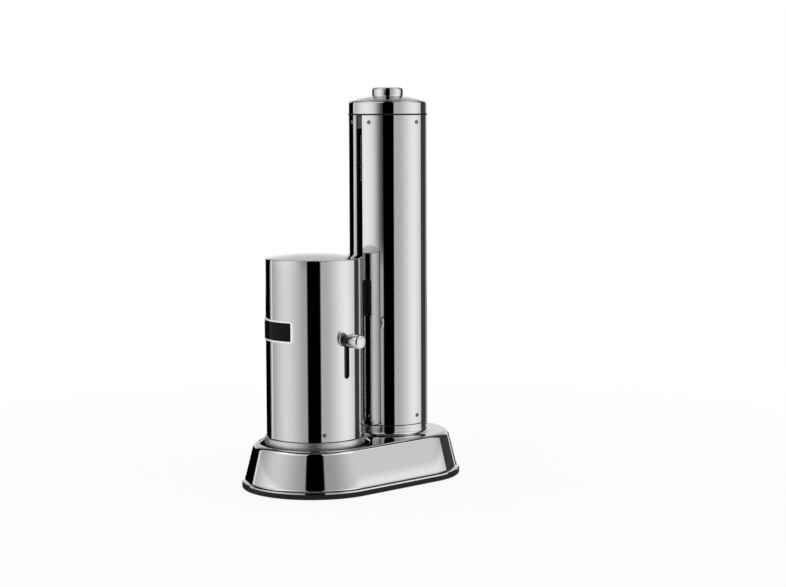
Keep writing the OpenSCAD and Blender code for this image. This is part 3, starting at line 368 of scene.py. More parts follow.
def stadium_path(radius, steps):
    """Points round a long outline with round ends."""
    points = []
    for centre, start in ((TOWER_AXIS, 0.0), (CHAMBER_AXIS, math.pi)):
        for i in range(steps // 2 + 1):
            angle = start + math.tau * i / steps
            points.append((centre.x + radius * math.cos(angle), centre.y + radius * math.sin(angle)))
    return points


def stadium_ring(bm, profile, steps):
    """Carries a closed profile of (radius, height) round the long outline."""
    rows = [[bm.verts.new((x, y, h)) for x, y in stadium_path(r, steps)] for r, h in profile]
    skin_rows(bm, rows, closed=True)


def pierced_plate(bm, outer, holes, low, high):
    """A flat plate between two levels, with an outline and holes given as loops of points."""
    for level in (low, high):
        edges = []
        for loop in [outer] + holes:
            verts = [bm.verts.new((x, y, level)) for x, y in loop]
            edges += [bm.edges.new((a, b)) for a, b in zip(verts, verts[1:] + verts[:1])]
        bmesh.ops.triangle_fill(bm, use_beauty=True, edges=edges)
    for loop in [outer] + holes:
        for (xa, ya), (xb, yb) in zip(loop, loop[1:] + loop[:1]):
            corners = ((xa, ya, low), (xb, yb, low), (xb, yb, high), (xa, ya, high))
            bm.faces.new([bm.verts.new(c) for c in corners])


def circle_path(centre, radius, steps):
    """Points round a circle."""
    return [(centre.x + radius * math.cos(math.tau * i / steps),
             centre.y + radius * math.sin(math.tau * i / steps)) for i in range(steps)]


def applied(piece):
    """Plain mesh of a piece with its modifiers applied."""
    bpy.context.view_layer.update()
    return bpy.data.meshes.new_from_object(
        piece.evaluated_get(bpy.context.evaluated_depsgraph_get()))


def cut(piece, cutter):
    """Cuts one closed mesh out of another."""
    knife = piece.modifiers.new("cut", "BOOLEAN")
    knife.operation = "DIFFERENCE"
    knife.solver = "EXACT"
    knife.object = cutter
    done = applied(piece)
    piece.modifiers.remove(knife)
    piece.data = done
    bpy.data.objects.remove(cutter)
    crisp(piece.data)


def true_wall(piece, centre, radii):
    """Gives round upright walls the exact normals of their cylinders."""
    mesh = piece.data
    normals = [Vector(n.vector) for n in mesh.corner_normals]
    for face in mesh.polygons:
        for corner in face.loop_indices:
            point = mesh.vertices[mesh.loops[corner].vertex_index].co
            out = Vector((point.x - centre.x, point.y - centre.y, 0))
            if not any(abs(out.length - r) < WALL_TOLERANCE for r in radii):
                continue
            out.normalize()
            facing = face.normal.dot(out)
            if abs(facing) > OUTWARD_SHARE:
                normals[corner] = out if facing > 0 else -out
    mesh.normals_split_custom_set(normals)


def dress(piece, body, node, slot="polished_steel", finish=None):
    """Puts a piece on its body and in place of its CAD node, and gives it its finish."""
    piece.data.materials.clear()
    piece.data.materials.append(finish_of(finish or slot))
    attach(piece, body)
    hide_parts(node)


# nodes
def fill(tree, node, inputs):
    """Sets inputs of a node, by name or number, to a constant or to the output of another node."""
    for label, value in inputs.items():
        if isinstance(value, bpy.types.NodeSocket):
            tree.links.new(value, node.inputs[label])
        else:
            node.inputs[label].default_value = value
    return node


def add_node(tree, kind, inputs=None, operation=None):
    """New node with its inputs filled."""
    node = tree.nodes.new(kind)
    if operation:
        node.operation = operation
    return fill(tree, node, inputs or {})


def mix(tree, share, first, second):
    """Mix of two shaders."""
    return add_node(tree, "ShaderNodeMixShader", {0: share, 1: first, 2: second}).outputs[0]


# finishes
def surface_group(name, stretch, detail):
    """Shader group: fine marks over a surface, as a roughness and a height."""
    group = bpy.data.node_groups.new(name, "ShaderNodeTree")
    for label in ("Scale", "Roughness", "Spread"):
        group.interface.new_socket(label, in_out="INPUT", socket_type="NodeSocketFloat")
    for label in ("Roughness", "Height"):
        group.interface.new_socket(label, in_out="OUTPUT", socket_type="NodeSocketFloat")
    given = group.nodes.new("NodeGroupInput").outputs
    place = add_node(group, "ShaderNodeTexCoord").outputs["Object"]
    mapping = add_node(group, "ShaderNodeMapping", {"Vector": place, "Scale": stretch})
    noise = add_node(group, "ShaderNodeTexNoise", {
        "Vector": mapping.outputs["Vector"], "Scale": given["Scale"], "Detail": detail}).outputs["Fac"]
    centred = add_node(group, "ShaderNodeMath", {0: noise, 1: NOISE_MIDDLE}, "SUBTRACT").outputs[0]
    spread = add_node(group, "ShaderNodeMath", {
        0: centred, 1: given["Spread"], 2: given["Roughness"]}, "MULTIPLY_ADD").outputs[0]
    add_node(group, "NodeGroupOutput", {"Roughness": spread, "Height": noise})
    return group


def finish_material(name, colour, group, roughness, scale, spread=0.15, metallic=0, relief=0,
                    coat=0, specular=0.5):
    """A finish with fine marks from a shared group."""
    material = bpy.data.materials.new(name)
    material.use_nodes = True
    tree = material.node_tree
    shader = fill(tree, tree.nodes["Principled BSDF"], {
        "Base Color": (*colour, 1), "Metallic": metallic, "Specular IOR Level": specular,
        "Coat Weight": coat})
    marks = tree.nodes.new("ShaderNodeGroup")
    marks.node_tree = group
    fill(tree, marks, {"Scale": scale, "Roughness": roughness, "Spread": spread})
    fill(tree, shader, {"Roughness": marks.outputs["Roughness"]})
    if relief > 0:
        bump = add_node(tree, "ShaderNodeBump", {
            "Strength": relief, "Distance": RELIEF_DEPTH, "Height": marks.outputs["Height"]})
        fill(tree, shader, {"Normal": bump.outputs["Normal"]})
    return material


def make_finishes():
    """All finishes, by material slot of the record or by a name of their own."""
    looks = bpy.context.scene.maker_finish
    hairline = surface_group("hairline_polish", stretch=(1, 1, 0.04), detail=3)
    turned_marks = surface_group("turning_marks", stretch=(0.05, 0.05, 1), detail=2)
    moulded = surface_group("moulded_grain", stretch=(1, 1, 1), detail=2)
    return {
        "polished_steel": finish_material(
            "mirror_polished_steel", looks.steel, hairline, roughness=looks.steel_gloss,
            spread=0.02, scale=900, metallic=1),
        "plain_steel": finish_material(
            "machined_steel", looks.plain, turned_marks, roughness=0.28,
            scale=1500, metallic=1, relief=0.1),
        "black_plastic": finish_material(
            "black_moulding", looks.black, moulded, roughness=0.42, scale=1200, relief=0.15),
        "rubber": finish_material(
            "black_rubber", looks.rubber, moulded, roughness=0.62,
            spread=0.2, scale=900, relief=0.2, specular=0.2),
        "grey_plastic": finish_material(
            "grey_moulding", looks.grey, moulded, roughness=0.45, scale=1200, relief=0.15),
        # Brass darkened in part as painted shade, so the long slot of the tower stays dark.
        "brass": finish_material(
            "turned_brass_painted_shade", looks.brass, turned_marks, roughness=0.4,
            scale=1500, metallic=1, relief=0.1),
        "alloy": finish_material(
            "cast_alloy", looks.alloy, moulded, roughness=0.42,
            spread=0.2, scale=700, metallic=1, relief=0.3),
        "dark_alloy": finish_material(
            "black_anodised_alloy", looks.black, moulded, roughness=0.35,
            spread=0.1, scale=900, relief=0.1),
        "cast_frame": finish_material(
            "dark_cast_alloy", looks.frame_alloy, moulded, roughness=0.5,
            spread=0.2, scale=700, metallic=1, relief=0.35),
        # Gas cylinder paint made near black as painted shade for the inside of the tower slot.
        "cylinder_paint": finish_material(
            "cylinder_paint", looks.cylinder, moulded, roughness=0.35,
            spread=0.1, scale=300, relief=0.1, coat=0.3),
        "satin_steel": finish_material(
            "satin_steel", looks.steel, turned_marks, roughness=looks.satin,
            spread=0.04, scale=1500, metallic=1),
        "knob_steel": finish_material(
            "soft_polished_knob", looks.steel, hairline, roughness=looks.knob_gloss,
            spread=0.02, scale=1500, metallic=1),
        # Screw finish: dark steel whose low colour is painted shade, for the dark ring round each head.
        "screw_painted_shade": finish_material(
            "dark_screw_painted_shade", looks.screw, turned_marks, roughness=0.18,
            spread=0.04, scale=1500, metallic=1),
        # Plate rim: a light, barely metallic colour that is a painted highlight for the polished rim's
        # reflection.
        "rim_painted_highlight": finish_material(
            "satin_rim_painted_highlight", looks.rim, moulded, roughness=0.3,
            spread=0.05, scale=1200, metallic=0.2),
        "gloss_black": finish_material(
            "gloss_black_field", looks.field, moulded, roughness=0.25,
            spread=0.05, scale=900, specular=0.08),
    }


FINISH = {}
# The plate frame takes the rim finish with the painted highlight.
OWN_FINISH = {"plate_frame": "rim_painted_highlight"}


def finish_of(slot):
    """The finish of one material slot."""
    if not FINISH:
        FINISH.update(make_finishes())
    return FINISH[slot]


class MAKER_OT_cad_finishes(bpy.types.Operator):
    """Give every CAD node the finish of its material slot"""

    bl_idname = "maker.cad_finishes"
    bl_label = "CAD finishes"

    def execute(self, context):
        for part in frame["record"]["subparts"]:
            node = frame["nodes"][part["node"]]
            node.data.materials.clear()
            node.data.materials.append(finish_of(OWN_FINISH.get(part["node"], part["material_slot"])))
        return {"FINISHED"}


# base
FLARE_STEPS = 10


def skirt_outline(inset):
    """Half outline of the skirt from the bead to the top, moved in by an inset."""
    s = shape()
    low, top = span_of("base_shell")
    outer = radius_of("base_shell")
    flare_low = low + s.bead
    flare_top = flare_low + s.flare_height
    lean_r = outer - s.flare_width
    bend_z = top - s.top_round
    touch_z = bend_z + s.top_round * math.sin(s.skirt_lean)
    touch_r = lean_r - (touch_z - flare_top) * math.tan(s.skirt_lean)
    bend_r = touch_r - s.top_round * math.cos(s.skirt_lean)
    shift = inset / math.cos(s.skirt_lean)
    points = [(outer - shift, low), (outer - shift, flare_low)]
    for i in range(1, FLARE_STEPS + 1):
        t = i / FLARE_STEPS
        points.append((lean_r - shift + s.flare_width * (1 - t) ** 2, flare_low + s.flare_height * t))
    points += arc(bend_r, bend_z, s.top_round - inset, math.degrees(s.skirt_lean), 90, steps=14)
    return points


class MAKER_OT_base_skin(bpy.types.Operator):
    """Steel skirt, flat top and rounded recess rim of the base"""

    bl_idname = "maker.base_skin"
    bl_label = "Base skin"

    def execute(self, context):
        s = shape()
        top = span_of("base_shell")[1]
        outer = skirt_outline(0)
        inner = skirt_outline(s.sheet)
        plate_r = inner[-1][0] - s.sheet
        ring = outer + [(plate_r, top), (plate_r, top - s.sheet)] + inner[::-1]
        bm = bmesh.new()
        stadium_ring(bm, ring, s.steps)
        recess_r = s.recess + s.recess_round
        collar_r = radius_of("tower_tube") - s.tower_wall
        pierced_plate(
            bm, stadium_path(plate_r, s.steps),
            [circle_path(CHAMBER_AXIS, recess_r, s.steps), circle_path(TOWER_AXIS, collar_r, s.steps)],
            top - s.sheet, top)
        lip = [(s.recess, top - s.recess_lip), (s.recess + s.sheet, top - s.recess_lip),
               (recess_r, top - s.sheet)]
        lip += arc(recess_r, top - s.recess_round, s.recess_round, 90, 180, steps=10)
        turn_profile(bm, lip, CHAMBER_AXIS, True, s.steps)
        dress(finish_mesh(bm, "base_skin"), "stand", "base_shell")
        return {"FINISHED"}


# tower
def tower_tube():
    """Tube of the tower with its long slot."""
    s = shape()
    low, top = span_of("tower_tube")
    outer = radius_of("tower_tube")
    inner = outer - s.tower_wall
    edge = s.tube_edge
    wall = [(inner, low), (outer - edge, low), (outer, low + edge),
            (outer, top - edge), (outer - edge, top), (inner, top)]
    tube = turned("tower_skin", wall, TOWER_AXIS)
    tall = top - s.tower_slot_low + s.tower_slot
    middle = Vector((TOWER_AXIS.x, TOWER_AXIS.y - outer, s.tower_slot_low + tall / 2))
    size = Matrix.Diagonal((s.tower_slot, outer, tall, 1))
    slot = bmesh.new()
    bmesh.ops.create_cube(slot, size=1, matrix=Matrix.Translation(middle) @ size)
    cut(tube, finish_mesh(slot, "slot_cutter"))
    true_wall(tube, TOWER_AXIS, (outer, inner))
    dress(tube, "stand", "tower_tube")


def tower_collar():
    """Collar at the foot of the tower, with its fillet and fine groove."""
    s = shape()
    outer = radius_of("tower_tube")
    inner = outer - s.tower_wall
    edge = s.tube_edge
    low, top = span_of("tower_collar")
    groove_z = top - s.groove_drop
    profile = [(inner, low)]
    profile += arc(outer + s.fillet, low + s.fillet, s.fillet, 270, 180, steps=12)
    profile += [(outer, groove_z), (outer - s.groove, groove_z),
                (outer - s.groove, groove_z + s.groove), (outer, groove_z + s.groove)]
    profile += [(outer, top - edge), (outer - edge, top), (inner, top)]
    dress(turned("tower_collar_skin", profile, TOWER_AXIS), "stand", "tower_collar")


class MAKER_OT_tower_skin(bpy.types.Operator):
    """Steel tube of the tower with its long slot, and the collar at its foot"""

    bl_idname = "maker.tower_skin"
    bl_label = "Tower skin"

    def execute(self, context):
        tower_tube()
        tower_collar()
        return {"FINISHED"}


class MAKER_OT_tower_cap(bpy.types.Operator):
    """Domed cap of the tower"""

    bl_idname = "maker.tower_cap"
    bl_label = "Tower cap"

    def execute(self, context):
        s = shape()
        low, rim = span_of("tower_cap")
        outer = radius_of("tower_cap")
        hole = s.button_radius + s.button_gap
        dome_r = outer - s.edge_round
        ball = (dome_r ** 2 + s.cap_rise ** 2) / (2 * s.cap_rise)
        top = rim + ball - math.sqrt(ball ** 2 - hole ** 2)
        edge_z = top - s.cap_rise
        edge = s.cut_edge
        profile = [(outer - s.cap_wall, low), (outer - edge, low), (outer, low + edge)]
        profile += arc(dome_r, edge_z - s.edge_round, s.edge_round, 0, 90, steps=14)
        profile += dome(dome_r, hole + edge, dome_r, s.cap_rise, top, steps=16)[1:]
        profile += [(hole, top - s.cap_wall / 2)]
        profile += dome(hole, dome_r - s.cap_wall, dome_r, s.cap_rise, top - s.cap_wall, steps=6)
        profile += [(outer - s.cap_wall, edge_z - s.edge_round - s.cap_wall)]
        dress(turned("tower_cap_skin", profile, TOWER_AXIS), "stand", "tower_cap")
        return {"FINISHED"}


class MAKER_OT_button(bpy.types.Operator):
    """Round button on the cap"""

    bl_idname = "maker.button"
    bl_label = "Button"

    def execute(self, context):
        s = shape()
        top = span_of("button")[1]
        foot = span_of("cap_seam")[1] + s.button_foot
        inner = s.button_radius - s.button_wall
        flat = s.button_radius - s.button_round
        profile = [(inner, foot), (s.button_radius, foot)]
        profile += arc(flat, top - s.button_crown - s.button_round, s.button_round, 0, 90, steps=12)
        profile += dome(flat, 0, flat, s.button_crown, top, steps=8)[1:]
        profile += [(0, top - s.button_wall), (inner, top - s.button_wall)]
        dress(turned("button_skin", profile, TOWER_AXIS), "push_button", "button")
        return {"FINISHED"}


# chamber
SLOT_STEPS = 24


def slot_cutter(level, travel, width, start, bevel_start, end):
    """A cutter for an upright slot with round ends, flared from the start of its bevel."""
    bm = bmesh.new()
    rows = []
    for x, half in ((start, width / 2), (bevel_start, width / 2), (end, width / 2 + end - bevel_start)):
        row = []
        for centre, turn in ((level, 0.0), (level - travel, math.pi)):
            for i in range(SLOT_STEPS + 1):
                angle = turn + math.pi * i / SLOT_STEPS
                row.append(bm.verts.new((x, CHAMBER_AXIS.y + half * math.cos(angle),
                                         centre + half * math.sin(angle))))
        rows.append(row)
    skin_rows(bm, rows)
    bm.faces.new(rows[0])
    bm.faces.new(rows[-1])
    return finish_mesh(bm, "lever_slot_cutter")


class MAKER_OT_chamber_skin(bpy.types.Operator):
    """Steel shell of the chamber with the bevelled slot of the lever"""

    bl_idname = "maker.chamber_skin"
    bl_label = "Chamber skin"

    def execute(self, context):
        s = shape()
        low, top = span_of("chamber_shell")
        outer = radius_of("chamber_lid")
        inner = outer - s.chamber_wall
        wall = [(inner, low), (outer, low), (outer, top), (inner, top)]
        shell = turned("chamber_skin", wall, CHAMBER_AXIS)
        level = sum(span_of("lever_knob")) / 2
        cut(shell, slot_cutter(level, s.lever_travel, s.lever_slot, inner - s.overrun,
                               outer - s.slot_bevel, outer + 2 * s.slot_bevel))
        true_wall(shell, CHAMBER_AXIS, (outer, inner))
        dress(shell, "chamber", "chamber_shell")
        return {"FINISHED"}


def chamber_lid():
    """Domed lid of the chamber."""
    s = shape()
    outer = radius_of("chamber_lid")
    top = span_of("chamber_lid")[1]
    shell_top = span_of("chamber_shell")[1]
    dome_r = outer - s.lid_edge
    profile = [(outer - s.chamber_wall, shell_top), (outer, shell_top)]
    profile += arc(dome_r, top - s.lid_rise - s.lid_edge, s.lid_edge, 0, 90, steps=14)[1:]
    profile += dome(dome_r, 0, dome_r, s.lid_rise, top, steps=20)[1:]
    profile += dome(0, dome_r - s.cap_wall, dome_r, s.lid_rise, top - s.cap_wall, steps=6)
    dress(turned("chamber_lid_skin", profile, CHAMBER_AXIS), "chamber", "chamber_lid")


def chamber_collar():
    """Satin collar at the foot of the chamber, up to its dark seam."""
    s = shape()
    low = span_of("chamber_collar")[0]
    top = span_of("chamber_seam")[0]
    outer = radius_of("chamber_collar")
    inner = radius_of("chamber_liner") + s.liner_gap
    foot, ease = s.collar_round, s.collar_edge
    profile = [(inner, low)]
    profile += arc(outer - foot, low + foot, foot, 270, 360, steps=10)
    profile += arc(outer - ease, top - ease, ease, 0, 90, steps=6)
    profile += [(inner, top)]
    collar = turned("chamber_collar_skin", profile, CHAMBER_AXIS)
    dress(collar, "chamber", "chamber_collar", finish="satin_steel")


class MAKER_OT_chamber_lid(bpy.types.Operator):
    """Domed lid and foot collar of the chamber"""

    bl_idname = "maker.chamber_lid"
    bl_label = "Chamber lid and collar"

    def execute(self, context):
        chamber_lid()
        chamber_collar()
        return {"FINISHED"}


class MAKER_OT_lever_knob(bpy.types.Operator):
    """Round knob of the lever"""

    bl_idname = "maker.lever_knob"
    bl_label = "Lever knob"

    def execute(self, context):
        s = shape()
        low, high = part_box("lever_knob")
        radius = (high.z - low.z) / 2
        centre = Vector((0, (low.y + high.y) / 2, (low.z + high.z) / 2))
        ease = s.cut_edge
        bevel = s.knob_bevel
        end = [(0, 0), (radius - bevel - ease, 0), (radius - bevel, ease / 2),
               (radius - ease / 2, bevel), (radius, bevel + ease)]
        profile = [(r, low.x + x) for r, x in end] + [(r, high.x - x) for r, x in end[::-1]]
        axes = (Vector((0, 1, 0)), Vector((0, 0, 1)), Vector((1, 0, 0)))
        knob = turned("lever_knob_skin", profile, centre, closed=False, frame_axes=axes)
        dress(knob, "side_lever", "lever_knob", finish="knob_steel")
        return {"FINISHED"}


# screws: angles in degrees, and shares of the radius and the rise of the head
SCREW_STEPS = 36
SOCKET_SIDES = 6
HEAD_ANGLES = (0, 20, 40, 55)
HEAD_SUNK_SHARE = 0.5
SOCKET_WIDTH_SHARE = 0.42
SOCKET_RIM_SHARE = 0.93
SOCKET_FLOOR_SHARE = 0.3
SOCKET_TWIST = 17
SCREW_SIZE = 1.0
TOWER_TURNS = (-93, -18, 18, 93)
CHAMBER_TURNS = (-60, 60, 180)


def screw_mesh():
    """One small round screw head with a six sided socket, its seat at the origin and facing +X."""
    s = shape()
    bm = bmesh.new()
    side = math.tau / SOCKET_SIDES
    turns = [math.tau * i / SCREW_STEPS for i in range(SCREW_STEPS)]
    rows = [(s.screw_head, -s.screw_rise * HEAD_SUNK_SHARE)]
    rows += [(s.screw_head * math.cos(math.radians(a)), s.screw_rise * math.sin(math.radians(a)))
             for a in HEAD_ANGLES]
    rings = [[bm.verts.new((x, r * math.cos(a), r * math.sin(a))) for a in turns] for r, x in rows]
    for x in (s.screw_rise * SOCKET_RIM_SHARE, s.screw_rise * SOCKET_FLOOR_SHARE):
        ring = []
        for a in turns:
            corner = math.cos(side / 2) / math.cos(a % side - side / 2)
            r = s.screw_head * SOCKET_WIDTH_SHARE * corner
            ring.append(bm.verts.new((x, r * math.cos(a), r * math.sin(a))))
        rings.append(ring)
    skin_rows(bm, rings)
    bm.faces.new(rings[-1])
    bm.faces.new(rings[0])
    return finish_mesh(bm, "screw_pattern")


def screw_ring_tree():
    """Geometry Nodes tree that puts a screw at each point and turns it away from its post."""
    tree = bpy.data.node_groups.new("screw_ring", "GeometryNodeTree")
    sockets = {}
    for label, kind in (
            ("Geometry", "Geometry"), ("Screw", "Object"), ("Finish", "Material"), ("Size", "Float")):
        socket = tree.interface.new_socket(label, in_out="INPUT", socket_type="NodeSocket" + kind)
        sockets[label] = socket.identifier
    tree.interface.new_socket("Geometry", in_out="OUTPUT", socket_type="NodeSocketGeometry")
    given = tree.nodes.new("NodeGroupInput").outputs
    info = add_node(tree, "GeometryNodeObjectInfo", {"Object": given["Screw"]})
    turn = tree.nodes.new("GeometryNodeInputNamedAttribute")
    turn.data_type = "FLOAT_VECTOR"
    fill(tree, turn, {"Name": "turn"})
    copies = add_node(tree, "GeometryNodeInstanceOnPoints", {
        "Points": given["Geometry"], "Instance": info.outputs["Geometry"],
        "Rotation": turn.outputs["Attribute"], "Scale": given["Size"]})
    real = add_node(tree, "GeometryNodeRealizeInstances", {"Geometry": copies.outputs["Instances"]})
    paint = add_node(tree, "GeometryNodeSetMaterial", {
        "Geometry": real.outputs["Geometry"], "Material": given["Finish"]})
    add_node(tree, "NodeGroupOutput", {"Geometry": paint.outputs["Geometry"]})
    return tree, sockets


def screw_group(name, body, node, centre, radius, turns, pattern, tree, sockets):
    """A group of wall screws at the level of their CAD node, as one plain mesh."""
    level = sum(span_of(node)) / 2
    mesh = bpy.data.meshes.new(name + "_points")
    places = []
    for turn in turns:
        a = math.radians(turn)
        places.append((centre.x + radius * math.sin(a), centre.y - radius * math.cos(a), level))
    mesh.from_pydata(places, [], [])
    angles = mesh.attributes.new("turn", "FLOAT_VECTOR", "POINT")
    for i, turn in enumerate(turns):
        angles.data[i].vector = (math.radians(SOCKET_TWIST * i), 0, math.radians(turn - 90))
    points = new_piece(name + "_points", mesh)
    modifier = points.modifiers.new("screws", "NODES")
    modifier.node_group = tree
    modifier[sockets["Screw"]] = pattern
    # The dark screw steel carries painted shade round the heads.
    modifier[sockets["Finish"]] = finish_of("screw_painted_shade")
    modifier[sockets["Size"]] = SCREW_SIZE
    made = applied(points)
    bpy.data.objects.remove(points)
    made.name = name
    crisp(made)
    dress(new_piece(name, made), body, node, slot="plain_steel", finish="screw_painted_shade")


class MAKER_OT_screws(bpy.types.Operator):
    """Small round screws round the tower and the chamber"""

    bl_idname = "maker.screws"
    bl_label = "Screws"

    def execute(self, context):
        pattern = screw_mesh()
        tree, sockets = screw_ring_tree()
        tower = (TOWER_AXIS, radius_of("tower_tube"), TOWER_TURNS, pattern, tree, sockets)
        chamber = (CHAMBER_AXIS, radius_of("chamber_lid"), CHAMBER_TURNS, pattern, tree, sockets)
        screw_group("tower_screws_foot", "stand", "tower_screws_low", *tower)
        screw_group("tower_screws_top", "stand", "tower_screws_high", *tower)
        screw_group("chamber_screws_foot", "chamber", "chamber_screws", *chamber)
        bpy.data.objects.remove(pattern)
        return {"FINISHED"}


# stage
def reflected_light(tree):
    """Light panels, dark card, backdrop, ceiling and floor as the mirror steel shows them."""
    s = studio()

    def calc(operation, *values):
        """Math node whose inputs are sockets or numbers."""
        return add_node(tree, "ShaderNodeMath", dict(enumerate(values)), operation).outputs[0]

    def times(first, *others):
        """Product of all values."""
        for other in others:
            first = calc("MULTIPLY", first, other)
        return first

    def most(first, *others):
        """Greatest of all values."""
        for other in others:
            first = calc("MAXIMUM", first, other)
        return first

    def dimmed(share, where):
        """1, less a share where a mask is 1."""
        return calc("MULTIPLY_ADD", where, -share, 1)

    def rise(value, start, end):
        """Soft step from 0 to 1 between two angles."""
        node = add_node(tree, "ShaderNodeMapRange", {"Value": value, "From Min": start, "From Max": end})
        node.interpolation_type = "SMOOTHSTEP"
        return node.outputs["Result"]

    def between(value, start, end, soft):
        """Soft edged band between two angles."""
        return times(rise(value, start - soft, start + soft), rise(value, end + soft, end - soft))

    def lobe(middle, width):
        """Glow that fades to both sides of its middle."""
        return rise(calc("ABSOLUTE", calc("SUBTRACT", turn, middle)), width, 0)

    place = add_node(tree, "ShaderNodeTexCoord").outputs["Generated"]
    way = add_node(tree, "ShaderNodeSeparateXYZ", {0: place}).outputs
    azimuth = calc("ARCTAN2", way["X"], times(way["Y"], -1))
    turn = calc("WRAP", calc("SUBTRACT", azimuth, s.card_turn), math.pi, -math.pi)
    height = calc("ARCSINE", way["Z"])

    low_wall = rise(height, -s.reach_level, -s.reach_level - s.horizon)
    reach = calc("MULTIPLY_ADD", low_wall, s.low_reach, turn)
    upright = times(calc("SUBTRACT", 1, low_wall), rise(height, s.band_low, s.band_low / 2))
    beside = times(rise(turn, -s.near_end, -s.card_half), upright)
    left = times(
        rise(reach, -s.left_end - s.panel_edge, s.panel_edge - s.left_end),
        rise(turn, s.panel_edge - s.card_half, -s.panel_edge - s.card_half),
        dimmed(s.near_shade, beside), dimmed(s.low_dip, low_wall))
    right = between(turn, s.card_half, s.right_end, s.panel_edge)
    glow = most(lobe(-s.left_glow, s.glow_width), lobe(s.right_glow, s.glow_width))
    face = calc("MULTIPLY_ADD", glow, s.glow_level, s.panel_level)
    low_part = dimmed(s.band_dip, rise(height, s.band_low / 2, s.band_low))
    upper = between(height, s.upper_low, s.upper_high, s.upper_edge)
    panels = times(calc("ADD", left, right), face, calc("MULTIPLY_ADD", upper, s.upper_level, low_part))
    edge_line = between(turn, -s.left_end, s.line_width - s.left_end, s.panel_edge)
    rear_line = between(turn, s.rear_line, s.rear_line + s.line_width, s.panel_edge)
    lines = times(most(edge_line, rear_line), s.line_level)
    rear = times(rise(turn, s.right_end, s.right_end + s.panel_edge), s.rear_level)
    open_sky = rise(height, s.upper_high + s.upper_edge, s.upper_high)
    sides = times(most(panels, lines, rear), open_sky)

    spread = calc("MULTIPLY_ADD", rise(height, s.horizon, s.band_low), s.backdrop_spread,
                  calc("ABSOLUTE", turn))
    backdrop = times(
        rise(spread, s.backdrop_edge - s.panel_edge, s.backdrop_edge + s.upper_edge),
        calc("MULTIPLY_ADD", rise(height, 0, s.backdrop_top), -s.backdrop_fade, s.backdrop_level),
        rise(height, -s.backdrop_low - s.horizon, -s.backdrop_low),
        rise(height, s.backdrop_top * 2, s.backdrop_top))
    ceiling = times(rise(height, s.upper_high, s.upper_high + s.upper_edge), s.ceiling_level)
    floor = times(rise(height, -s.floor_start, -2 * s.floor_start), s.floor_level)
    return most(sides, backdrop, ceiling, floor)


def studio_world():
    """World: white to the camera, soft light for matt pieces, and light panels in reflections."""
    world = bpy.data.worlds.new("studio")
    bpy.context.scene.world = world
    world.use_nodes = True
    world.cycles.sampling_method = "NONE"
    tree = world.node_tree
    tree.nodes.clear()

    def background(colour, strength):
        """Light of one colour or of a pattern."""
        return add_node(tree, "ShaderNodeBackground", {"Color": colour, "Strength": strength}).outputs[0]

    ray = add_node(tree, "ShaderNodeLightPath").outputs
    panels = background(reflected_light(tree), studio().mirror_light)
    lit = mix(tree, ray["Is Glossy Ray"], background(WHITE, studio().soft_light), panels)
    seen = mix(tree, ray["Is Camera Ray"], lit, background(WHITE, 1))
    add_node(tree, "ShaderNodeOutputWorld", {"Surface": seen})


def floor_piece():
    """Pale floor that keeps the shadow and gets whiter to the camera with distance."""
    s = studio()
    half = s.floor_width / 2
    corners = [(-half, -half, 0), (half, -half, 0), (half, half, 0), (-half, half, 0)]
    mesh = bpy.data.meshes.new("floor")
    mesh.from_pydata(corners, [], [(0, 1, 2, 3)])
    floor = new_piece("floor", mesh)
    material = bpy.data.materials.new("pale_floor")
    material.use_nodes = True
    tree = material.node_tree
    shader = fill(tree, tree.nodes["Principled BSDF"], {
        "Base Color": (*s.floor_colour, 1), "Roughness": s.floor_roughness, "Specular IOR Level": 0})
    glow = add_node(tree, "ShaderNodeEmission", {"Color": WHITE})
    ray = add_node(tree, "ShaderNodeLightPath").outputs
    place = add_node(tree, "ShaderNodeTexCoord").outputs["Object"]
    apart = add_node(tree, "ShaderNodeVectorMath", {0: place}, "LENGTH").outputs["Value"]
    whiter = add_node(tree, "ShaderNodeMapRange", {
        "Value": apart, "From Min": s.glow_start, "From Max": s.glow_end,
        "To Min": s.floor_glow}).outputs["Result"]
    share = add_node(tree, "ShaderNodeMath", {0: ray["Is Camera Ray"], 1: whiter}, "MULTIPLY")
    seen = mix(tree, share.outputs[0], shader.outputs[0], glow.outputs[0])
    fill(tree, tree.nodes["Material Output"], {"Surface": seen})
    floor.data.materials.append(material)
    floor.visible_glossy = False


def key_light():
    """Large soft light above the camera's left, for the shadow and the matt pieces."""
    s = studio()
    light = bpy.data.lights.new("key", "AREA")
    light.shape = "DISK"
    light.size = s.key_size
    light.energy = s.key_power
    lamp = new_piece("key", light)
    lamp.location = (s.key_right, -s.key_front, s.key_height)
    lamp.rotation_mode = "QUATERNION"
    lamp.rotation_quaternion = (Vector((0, 0, s.key_aim)) - lamp.location).to_track_quat("-Z", "Y")
    lamp.visible_glossy = False


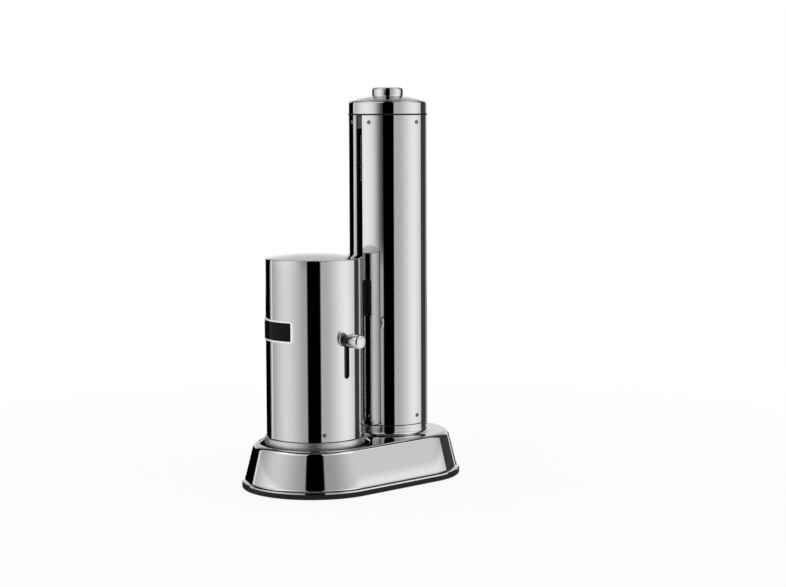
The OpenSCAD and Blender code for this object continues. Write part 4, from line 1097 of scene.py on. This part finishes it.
def photo_camera():
    """Camera at the viewing angle of the photograph."""
    s = studio()
    a = s.camera_turn
    up = Vector((0, 0, 1))
    ahead = -Vector((math.sin(a), -math.cos(a), 0))
    right = Vector((math.cos(a), math.sin(a), 0))
    yawed = ahead * math.cos(s.camera_yaw) + right * math.sin(s.camera_yaw)
    side = right * math.cos(s.camera_yaw) - ahead * math.sin(s.camera_yaw)
    view = yawed * math.cos(s.camera_pitch) - up * math.sin(s.camera_pitch)
    top = yawed * math.sin(s.camera_pitch) + up * math.cos(s.camera_pitch)
    camera_x = side * math.cos(s.camera_roll) + top * math.sin(s.camera_roll)
    camera_y = top * math.cos(s.camera_roll) - side * math.sin(s.camera_roll)
    data = bpy.data.cameras.new("photo_camera")
    data.lens = s.camera_lens
    data.sensor_width = SENSOR_WIDTH
    data.clip_end = VIEW_END
    camera = new_piece("photo_camera", data)
    camera.matrix_world = Matrix((
        (camera_x.x, camera_y.x, -view.x, math.sin(a) * s.camera_distance),
        (camera_x.y, camera_y.y, -view.y, -math.cos(a) * s.camera_distance),
        (camera_x.z, camera_y.z, -view.z, s.camera_height),
        (0, 0, 0, 1)))
    bpy.context.scene.camera = camera


class MAKER_OT_stage(bpy.types.Operator):
    """Floor, light, studio reflections and camera"""

    bl_idname = "maker.stage"
    bl_label = "Stage"

    def execute(self, context):
        context.scene.view_settings.view_transform = "Standard"
        context.scene.cycles.glossy_bounces = studio().mirror_bounces
        studio_world()
        floor_piece()
        key_light()
        photo_camera()
        return {"FINISHED"}


OPERATORS = (
    MAKER_OT_cad_finishes, MAKER_OT_base_skin, MAKER_OT_tower_skin, MAKER_OT_tower_cap,
    MAKER_OT_button, MAKER_OT_chamber_skin, MAKER_OT_chamber_lid, MAKER_OT_lever_knob,
    MAKER_OT_screws, MAKER_OT_stage,
)


class MAKER_PT_panel(bpy.types.Panel):
    """Panel that lists the settings and the pieces"""

    bl_idname = "MAKER_PT_panel"
    bl_label = "Water maker"
    bl_space_type = "VIEW_3D"
    bl_region_type = "UI"
    bl_category = "Water maker"

    def draw(self, context):
        for place, kind in SETTINGS:
            box = self.layout.box()
            for name in kind.__annotations__:
                box.prop(getattr(context.scene, place), name)
        for operator in OPERATORS:
            self.layout.operator(operator.bl_idname)


SETTINGS = (
    ("maker_shape", MakerShapeSettings),
    ("maker_finish", MakerFinishSettings),
    ("maker_studio", MakerStudioSettings),
)


def register():
    for name, group in SETTINGS:
        bpy.utils.register_class(group)
        setattr(bpy.types.Scene, name, bpy.props.PointerProperty(type=group))
    for operator in OPERATORS:
        bpy.utils.register_class(operator)
    bpy.utils.register_class(MAKER_PT_panel)


def unregister():
    bpy.utils.unregister_class(MAKER_PT_panel)
    for operator in reversed(OPERATORS):
        bpy.utils.unregister_class(operator)
    for name, group in reversed(SETTINGS):
        delattr(bpy.types.Scene, name)
        bpy.utils.unregister_class(group)


def main():
    register()
    bpy.ops.maker.cad_finishes()
    bpy.ops.maker.base_skin()
    bpy.ops.maker.tower_skin()
    bpy.ops.maker.tower_cap()
    bpy.ops.maker.button()
    bpy.ops.maker.chamber_skin()
    bpy.ops.maker.chamber_lid()
    bpy.ops.maker.lever_knob()
    bpy.ops.maker.screws()
    bpy.ops.maker.stage()


if __name__ == "__main__":
    main()
